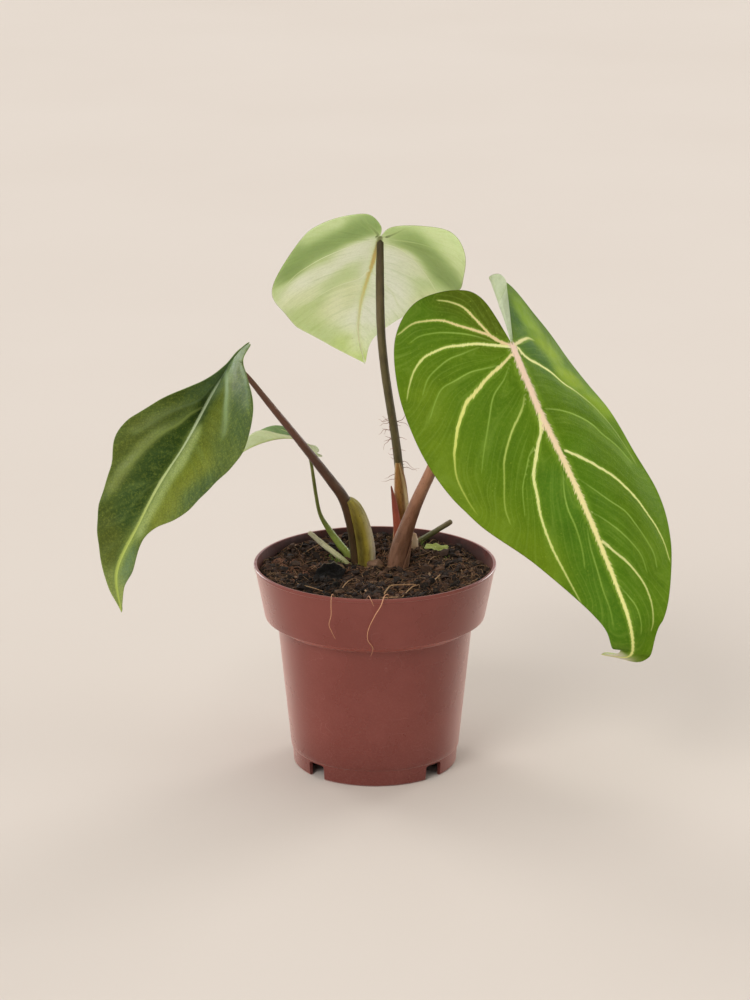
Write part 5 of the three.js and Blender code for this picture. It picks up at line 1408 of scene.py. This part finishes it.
# Fibres and straws lie in low arcs on the soil
def layStrands(x, y, turn, long, bend, lift, steps=8):
    # each turns by bend along its length, stays inside the wall and lies on the soil, half smoothed
    s = np.linspace(-0.5, 0.5, steps)[None]
    angle = turn[:, None] + bend[:, None] * s
    px = x[:, None] + long[:, None] * s * np.cos(angle)
    py = y[:, None] + long[:, None] * s * np.sin(angle)
    hold = np.minimum(1, 56.4 / np.maximum(np.hypot(px, py), 1e-6))
    px, py = px * hold, py * hold
    ground = soilTop(px, py)
    smoothed = 0.5 * ground + 0.5 * ground.mean(axis=1, keepdims=True)
    pz = np.maximum(smoothed, ground - 0.2) + lift[:, None] * (1 - 4 * s * s)
    return np.stack([px, py, pz], -1)


def soilStrands(name, rng, paths, kind, taper, material, shade=1.0):
    # each strand has a thickness of its own, which runs along it as taper does, and one of the tints
    count = len(paths)
    radii = rng.uniform(*kind["thick"], count)[:, None] * taper
    tints = np.asarray(kind["tints"], float)[rng.integers(0, len(kind["tints"]), count)]
    makeStrands(name, paths, radii, (tints * shade)[:, None], material)


fibreSkin = stemMaterial("fibreSkin", {"streakTint": (170, 130, 94), "fibreTint": (96, 66, 44),
                                       "roughFrom": 0.65, "roughTo": 0.85}, glow=0.0, shine=0.2, depth=0.05)
fibres = {"count": 1150, "long": (3, 15), "thick": (0.08, 0.21), "seed": 53,
          "tints": [(156, 122, 92), (128, 92, 66), (104, 72, 54), (176, 144, 112), (122, 80, 60),
                    (92, 66, 50)]}
rng = np.random.default_rng(fibres["seed"])
x, y = scatter(rng, fibres["count"], 1.0)
count = len(x)
long = fibres["long"][0] + (fibres["long"][1] - fibres["long"][0]) * rng.random(count) ** 2
paths = layStrands(x, y, rng.uniform(0, pi, count), long, rng.normal(0, 1.1, count),
                   rng.uniform(0.2, 1.6, count))
# fibres in the painted shadow in front of the dark scale are darker
soilStrands("soilFibres", rng, paths, fibres, np.linspace(1, 0.5, 8), fibreSkin,
            (1 - 0.7 * paintedShadowPart(x, y))[:, None])

# A matted reddish patch at the left, and pale straws at the front
mat = {"count": 120, "centre": (-40, 2), "spread": 7.5, "thick": (0.08, 0.16), "seed": 59,
       "tints": [(170, 116, 96), (146, 92, 76), (186, 134, 108)]}
rng = np.random.default_rng(mat["seed"])
x = mat["centre"][0] + rng.normal(0, mat["spread"], mat["count"])
y = mat["centre"][1] + rng.normal(0, mat["spread"], mat["count"])
x, y = keepFree(x, y, 1.0)
count = len(x)
paths = layStrands(x, y, rng.uniform(0, pi, count), rng.uniform(3, 8, count), rng.normal(0, 1.6, count),
                   rng.uniform(0.3, 1.5, count))
soilStrands("fibreMat", rng, paths, mat, np.linspace(1, 0.6, 8), fibreSkin)

straws = {  # each run gives x, y and the height above the soil
    "runs": [[(3.5, -43, 0.6), (6, -33, 1.6), (9, -29, 2.2), (20, -27, 1.8)],
             [(12.5, -44, 0.5), (15, -38, 1.4), (18, -31, 2.0), (21, -26, 1.4)],
             [(-17, -35, 0.6), (-15, -28, 1.6), (-13, -22, 1.8), (-11, -16, 0.8)],
             [(2, -46, 0.8), (8, -45.5, 1.2), (14, -45, 1.0), (19, -43, 0.5)],
             [(26, -24, 0.5), (29, -20, 1.2), (31, -15, 1.2), (32, -10, 0.5)],
             [(-40, -20, 0.5), (-36, -27, 1.4), (-30, -32, 1.4), (-24, -36, 0.6)],
             [(-36, 22, 0.5), (-30, 28, 2.6), (-25, 33, 2.6), (-20, 35, 0.5)],
             [(34, 8, 0.5), (38, 12, 1.2), (42, 14, 1.2), (46, 14, 0.5)]],
    "thick": [0.3, 0.26, 0.24, 0.2, 0.34, 0.16, 0.14, 0.24]}
share = np.linspace(0, 1, 26)
runs = np.stack([smoothRun(run, share) for run in straws["runs"]])
runs[..., 2] += soilTop(runs[..., 0], runs[..., 1]).mean(axis=1, keepdims=True)
tints = smoothRun([(196, 150, 108), (216, 174, 130), (176, 130, 92)], share)[None]
thick = np.array(straws["thick"])[:, None] * np.ones((1, len(share)))
makeStrands("straws", runs, thick, tints, fibreSkin, sides=7)

# Moss: tufts of short green strands by the stubs
mossSkin = stemMaterial("mossSkin", {"streakTint": (130, 160, 60), "fibreTint": (70, 90, 36),
                                     "roughFrom": 0.6, "roughTo": 0.8}, glow=0.1, depth=0.03)
moss = {  # each tuft gives x, y, the number of strands and how far they spread
    "tufts": [(-17.5, 17, 90, 2.6), (-12, 15.6, 50, 1.8), (-21, 22.5, 40, 1.8), (27, 30, 16, 1.8),
              (24, 41, 16, 1.6), (36, 22, 12, 1.8)],
    "thick": (0.12, 0.24), "tints": [(96, 122, 46), (120, 146, 56), (78, 98, 38), (140, 156, 70)], "seed": 67}
rng = np.random.default_rng(moss["seed"])
x = np.concatenate([rng.normal(cx, wide, number) for cx, cy, number, wide in moss["tufts"]])
y = np.concatenate([rng.normal(cy, wide, number) for cx, cy, number, wide in moss["tufts"]])
x, y = keepFree(x, y, 0.2)
lean = rng.normal(0, 0.5, (len(x), 2))
high = rng.uniform(0.8, 2.2, len(x))[:, None, None]
s = np.linspace(0, 1, 4)
base = np.stack([x, y, soilTop(x, y) - 0.2], -1)[:, None]
rise = np.stack([lean[:, :1] * s ** 1.5, lean[:, 1:] * s ** 1.5, np.ones((len(x), 1)) * s], -1)
soilStrands("moss", rng, base + high * rise, moss, 1 - 0.75 * s, mossSkin)
print("the soil is made")


# Scraps: a thin curled sheet with a ragged edge
def buildScrap(scrap, material):
    # height = curl * share^2 where the sheet lies towards the back + two sizes of waves
    outline = np.asarray(scrap["outline"], float)
    closed = np.concatenate([outline, outline[:1]])
    turns, ringCount = 96, 22
    t = np.linspace(0, 1, turns, endpoint=False)
    wrapped = np.concatenate([closed[-3:-1], closed, closed[1:3]])
    rim = smoothRun(wrapped, (t * len(outline) + 2) / (len(wrapped) - 1))
    ragged = softNoise(20 * np.cos(2 * pi * t), 20 * np.sin(2 * pi * t), 4, 3)
    rim = rim * (1 + scrap["ragged"] * ragged)[:, None]
    share = np.linspace(0, 1, ringCount)[:, None]
    dx, dy = share * rim[:, 0], share * rim[:, 1]
    up = np.maximum(dy / np.maximum(np.hypot(dx, dy), 1e-6), 0)
    lift = scrap["curl"] * share ** 2 * up + scrap["wavy"] * softNoise(dx, dy, 2.6, 9)
    lift = lift + 0.4 * scrap["wavy"] * softNoise(dx, dy, 1.1, 10)
    half = 0.5 * scrap["thickness"] * np.sqrt(np.clip((1 - share) / 0.12, 0, 1)) + 0 * dx
    spots = np.stack([scrap["at"][0] + dx, scrap["at"][1] + dy, scrap["at"][2] + lift], -1)
    places = np.tile(spots, (2, 1, 1, 1))
    places[..., 2] += np.stack([half, -half])
    places = places.reshape(-1, 3)
    top = gridFaces(ringCount, turns, closed=True)
    kept, _, faces = weld(places, np.concatenate([top[:, ::-1], top + ringCount * turns]))
    # the edge is pale all round by paleAll, and fully where the sheet curls up, where the paleness is a
    # painted highlight on the raised rim
    curled = scrap["paleAll"] + (1 - scrap["paleAll"]) * np.clip(2 * up - 0.8, 0, 1)
    pale = smoothStep(share + 0 * dx, scrap["paleFrom"], 1) * curled
    values = {"tint": np.tile(np.asarray(scrap["tint"], float), (len(kept), 1)),
              "thinEdge": np.tile(pale.ravel(), 2)[kept],
              "stemSpace": 0.25 * np.tile(spots.reshape(-1, 3), (2, 1))[kept]}
    return makePiece(scrap["name"], places[kept], faces, material, [scrap["node"]], values)


buildScrap({"name": "leafScrap", "node": "leaf_scrap", "at": [31, 35.5, 99.4], "curl": 0.9, "thickness": 0.4,
            "outline": [[-6, -1], [-3, -3], [1, -4.4], [5, -2.4], [6.5, 0.6], [3.4, 3], [-1, 2.6], [-4, 3.4]],
            "ragged": 0.1, "wavy": 0.6, "tint": (148, 156, 66), "paleFrom": 0.5, "paleAll": 0.5},
           stemMaterial("scrapSkin", {"streakTint": (190, 198, 120), "fibreTint": (84, 100, 42),
                                      "edgeTint": (180, 190, 110), "spots": 0.3, "spotTint": (210, 214, 160),
                                      "roughFrom": 0.5, "roughTo": 0.7}, glow=0.1))
# the dark scale's pale curled rim is a painted highlight
buildScrap({"name": "darkScale", "node": "dark_scale", "at": [-22.5, -5, 97.9], "curl": 4.2, "thickness": 0.6,
            "outline": [[-8, -5], [-5, -9], [0.5, -10], [4.8, -7.4], [6.4, -3], [7.8, 2.4], [5.4, 6.4],
                        [0, 7.4], [-5, 4]],
            "ragged": 0.14, "wavy": 0.8, "tint": (15, 12, 11), "paleFrom": 0.94, "paleAll": 0.0},
           stemMaterial("scaleSkin", {"streakTint": (26, 21, 18), "fibreTint": (10, 8, 8),
                                      "edgeTint": (150, 140, 120), "spotTint": (50, 42, 34),
                                      "roughFrom": 0.5, "roughTo": 0.75}, shine=0.12, depth=0.5))

# Pot: a profile turned round the axis, with the notches and drain holes cut out
potShape = {
    "outside": [[0, 8.2], [39.2, 8.2], [38.8, 0.3], [39.1, 0], [40.1, 0], [40.8, 0.7], [41.3, 8.2],
                [41.6, 8.55], [42.0, 9.2], [48.3, 72.4], [48.8, 73.0], [53.6, 75.8], [54.5, 76.5],
                [54.75, 77.3], [59.4, 101.4], [59.85, 101.75], [60, 102.2], [59.95, 102.9], [59.7, 103.2],
                [59.4, 103.3]],
    "inside": [[58.8, 103.3], [58.5, 103.1], [58.4, 102.7], [53.6, 77.7], [53.2, 77.1], [47.6, 73.9],
               [47.1, 73.1], [40.4, 11.2], [40.2, 10.2], [39.4, 9.5], [38.6, 9.4], [0, 9.4]],
    "notchWide": 10.2, "notchHigh": 7.6, "notchRound": 1.6, "notchAngles": [45, 135, 225, 315],
    "drainRadius": 3.2, "drainCircle": 24, "drainCount": 8, "sides": 256,
}


def fineProfile(corners, longest):
    # long straight runs are split, so that the turned wall is an even grid
    pieces = []
    for start, end in zip(corners[:-1], corners[1:]):
        count = max(int(np.ceil(np.hypot(*(end - start)) / longest)), 1)
        pieces.append(np.linspace(start, end, count, endpoint=False))
    return np.concatenate([*pieces, corners[-1:]])


def makePot(shape, material):
    profile = fineProfile(np.array([*shape["outside"], *shape["inside"]], float), 2.5)
    spin = 2 * pi * np.arange(shape["sides"]) / shape["sides"]
    radius, height = profile[:, :1], profile[:, 1:]
    places = np.stack([radius * np.cos(spin), radius * np.sin(spin), height + 0 * spin], -1).reshape(-1, 3)
    kept, _, faces = weld(places, gridFaces(len(profile), len(spin), closed=True))
    # notch cutters are blocks whose two upper edges are rounded, and drain cutters are round pins
    wide, high, bend = shape["notchWide"] / 2, shape["notchHigh"], shape["notchRound"]
    arc = np.linspace(0, pi / 2, 8)
    right = np.stack([wide - bend + bend * np.cos(arc), high - bend + bend * np.sin(arc)], -1)
    block = np.concatenate([[[wide, -3]], right, right[::-1] * (-1, 1), [[-wide, -3]]])
    turn = 2 * pi * np.arange(28) / 28
    pin = shape["drainRadius"] * np.stack([np.cos(turn), np.sin(turn)], -1)
    cutters = []
    for angle in np.radians(shape["notchAngles"]):
        path = np.array([[r * cos(angle), r * sin(angle), 0] for r in (31, 40, 52)])
        cutters.append((path, block, (0.0, 0.0, 1.0)))
    for k in range(shape["drainCount"]):
        # the middle of the hole is where the CAD model has it
        angle = 2 * pi * (k + 0.5) / shape["drainCount"]
        middle = [shape["drainCircle"] * cos(angle), shape["drainCircle"] * sin(angle)]
        cutters.append((np.array([[*middle, z] for z in (5.0, 8.8, 12.6)]), pin, (0.0, -1.0, 0.0)))
    cutPlaces, cutFaces, first = [], [], 0
    for path, section, reference in cutters:
        spots, parts = sweepPaths(path[None], np.tile(section, (1, 3, 1, 1)), reference)
        cutPlaces.append(spots)
        cutFaces.append(faceOut(spots, parts) + first)
        first += len(spots)
    piece = makePiece("potShell", places[kept], faces, material, ["pot"])
    cutter = addObject("cutter", plainMesh("cutter", potAxis + mm * np.concatenate(cutPlaces),
                                           np.concatenate(cutFaces)))
    cut = piece.modifiers.new("cut", "BOOLEAN")
    cut.operation, cut.solver, cut.object = "DIFFERENCE", "EXACT", cutter
    with bpy.context.temp_override(object=piece, active_object=piece, selected_objects=[piece]):
        bpy.ops.object.modifier_apply(modifier=cut.name)
    bpy.data.objects.remove(cutter)
    piece.data.set_sharp_from_angle(angle=radians(32))
    print("pot", len(piece.data.polygons), "faces after the cuts")
    return piece


def potMaterial(look):
    material, tree, shader = newMaterial(
        "potPlastic", Specular_IOR_Level=0.42, Coat_Roughness=0.3, Coat_IOR=1.6,
        Sheen_Weight=0.3, Sheen_Roughness=0.4, Sheen_Tint=tone(255, 140, 120))
    # moulded plastic looks glossier towards its outline
    facing = add(tree, "ShaderNodeLayerWeight", {"Blend": 0.5}).outputs["Facing"]
    tree.links.new(fade(facing, 0.3, 0.85), shader.inputs["Coat Weight"])
    place = objectPlace(tree)
    dirt = useGroup(tree, grime, {"place": place, "cloudSize": 26.0})
    across, back, height = add(tree, "ShaderNodeSeparateXYZ", {0: place}).outputs
    away = add(tree, "ShaderNodeCombineXYZ", {0: across, 1: back}).outputs[0]
    away = add(tree, "ShaderNodeVectorMath", {0: away, 1: tuple(potAxis)}, operation="SUBTRACT").outputs[0]
    radius = add(tree, "ShaderNodeVectorMath", {0: away}, operation="LENGTH").outputs["Value"]
    colour = blend(dirt["cloud"], tone(*look["colour"]), tone(*look["lighter"]))
    # painted shade: darker over the lowest 30 mm, towards the foot
    colour = blend(fade(height, 0.0, 0.03, 0.55, 0.0), colour, tone(*look["low"]))
    # dusty film, thicker towards the foot
    dust = times(fade(dirt["grain"], 0.42, 0.72), fade(height, 0.0, 0.09, 0.16, 0.05))
    colour = blend(dust, colour, tone(*look["dust"]))
    colour = blend(times(dirt["scratch"], 0.3), colour, tone(*look["scratch"]))
    # inside is where the radius is less than the middle of the wall, which leans out by slope
    slope, wallRadius, wallHeight = 0.193, 0.0585, 0.1030
    depth = calc("SUBTRACT", wallRadius, radius)
    depth = plus(depth, times(calc("SUBTRACT", height, wallHeight), slope))
    inside = times(calc("GREATER_THAN", depth, 0.0), calc("GREATER_THAN", height, 0.078))
    # painted shade: the inner wall is painted darker
    colour = blend(times(inside, 0.85), colour, tone(*look["within"]))
    # earth clings to the inner wall, up to just above the soil
    line = plus(height, times(noise(place, 5, 4.0, 0.65), -0.012))
    earth = times(fade(line, 0.0925, 0.0985, 0.85, 0.0), inside)
    colour = blend(earth, colour, tone(*look["earth"]))
    rough = plus(fade(dirt["cloud"], 0.0, 1.0, *look["roughness"]), times(earth, 0.4))
    rings = {"Vector": place, "Scale": 190.0, "Distortion": 0.6, "Detail": 1.0}
    turned = add(tree, "ShaderNodeTexWave", rings, wave_type="BANDS", bands_direction="Z").outputs["Fac"]
    bump = plus(times(noise(place, 0.5, 2.0), 0.5), times(turned, 0.14),
                times(dirt["scratch"], -0.6), times(earth, 2.0))
    finish(tree, shader, colour, rough, bump, 0.06, 0.5)
    return material


potPlastic = potMaterial({"colour": (118, 56, 48), "lighter": (125, 62, 54), "low": (96, 44, 38),
                          "dust": (160, 112, 100), "scratch": (170, 120, 112), "earth": (46, 30, 24),
                          "within": (72, 30, 30), "roughness": (0.26, 0.36)})
makePot(potShape, potPlastic)
print("the pot is made")


# Floor, light and camera
def makeFloor():
    mesh = plainMesh("floor", [(-9, -4, 0), (9, -4, 0), (9, 12, 0), (-9, 12, 0)], [(0, 1, 2, 3)])
    material, tree, shader = newMaterial("floorPaper", Specular_IOR_Level=0.1)
    place = objectPlace(tree)
    colour = blend(noise(place, 400), tone(218, 208, 198), tone(212, 201, 190))
    rough = fade(noise(place, 3, 2.0), 0.3, 0.7, 0.85, 0.95)
    finish(tree, shader, colour, rough, noise(place, 1.5, 2.0), 0.02)
    mesh.materials.append(material)
    addObject("floor", mesh)


lights = {  # where each comes from, its strength and the angle that it spreads over, in degrees
    "keyLight": ((-0.5, -0.8, 0.8), 1.3, 30),
    "topLight": ((0.1, 0.35, 1.2), 0.5, 40),
    "leftRim": ((-0.66, 0.75, 0.4), 0.9, 24),
    "rightRim": ((0.66, 0.75, 0.4), 0.9, 24),
    "leftSide": ((-1.0, -0.12, 0.4), 0.5, 40),
    "rightSide": ((1.0, -0.12, 0.4), 0.5, 40),
}
for name, (spot, power, spread) in lights.items():
    data = bpy.data.lights.new(name, "SUN")
    data.energy, data.angle = power, radians(spread)
    light = addObject(name, data)
    light.location = potAxis + np.array(spot)
    way = Vector(potAxis + np.array([0, 0, 0.1])) - light.location
    light.rotation_euler = way.to_track_quat("-Z", "Y").to_euler()
world = bpy.data.worlds.new("studio")
world.use_nodes = True
sky = world.node_tree.nodes["Background"].inputs
sky["Color"].default_value, sky["Strength"].default_value = (1.0, 0.98, 0.96, 1.0), 0.5
bpy.context.scene.world = world
bpy.context.scene.view_settings.view_transform = "Standard"
makeFloor()

photoView = {"elevation": 16.76, "distance": 1.6, "aimHeight": 0.1351, "lens": 117.07}
tilt = radians(photoView["elevation"])
cameraData = bpy.data.cameras.new("camera")
cameraData.lens, cameraData.sensor_width, cameraData.clip_end = photoView["lens"], 36, 60
camera = addObject("camera", cameraData)
camera.location = potAxis + np.array([0, 0, photoView["aimHeight"]]) + photoView["distance"] * np.array(
    [0, -cos(tilt), sin(tilt)])
camera.rotation_euler = (pi / 2 - tilt, 0, 0)
bpy.context.scene.camera = camera
print("the studio is set")
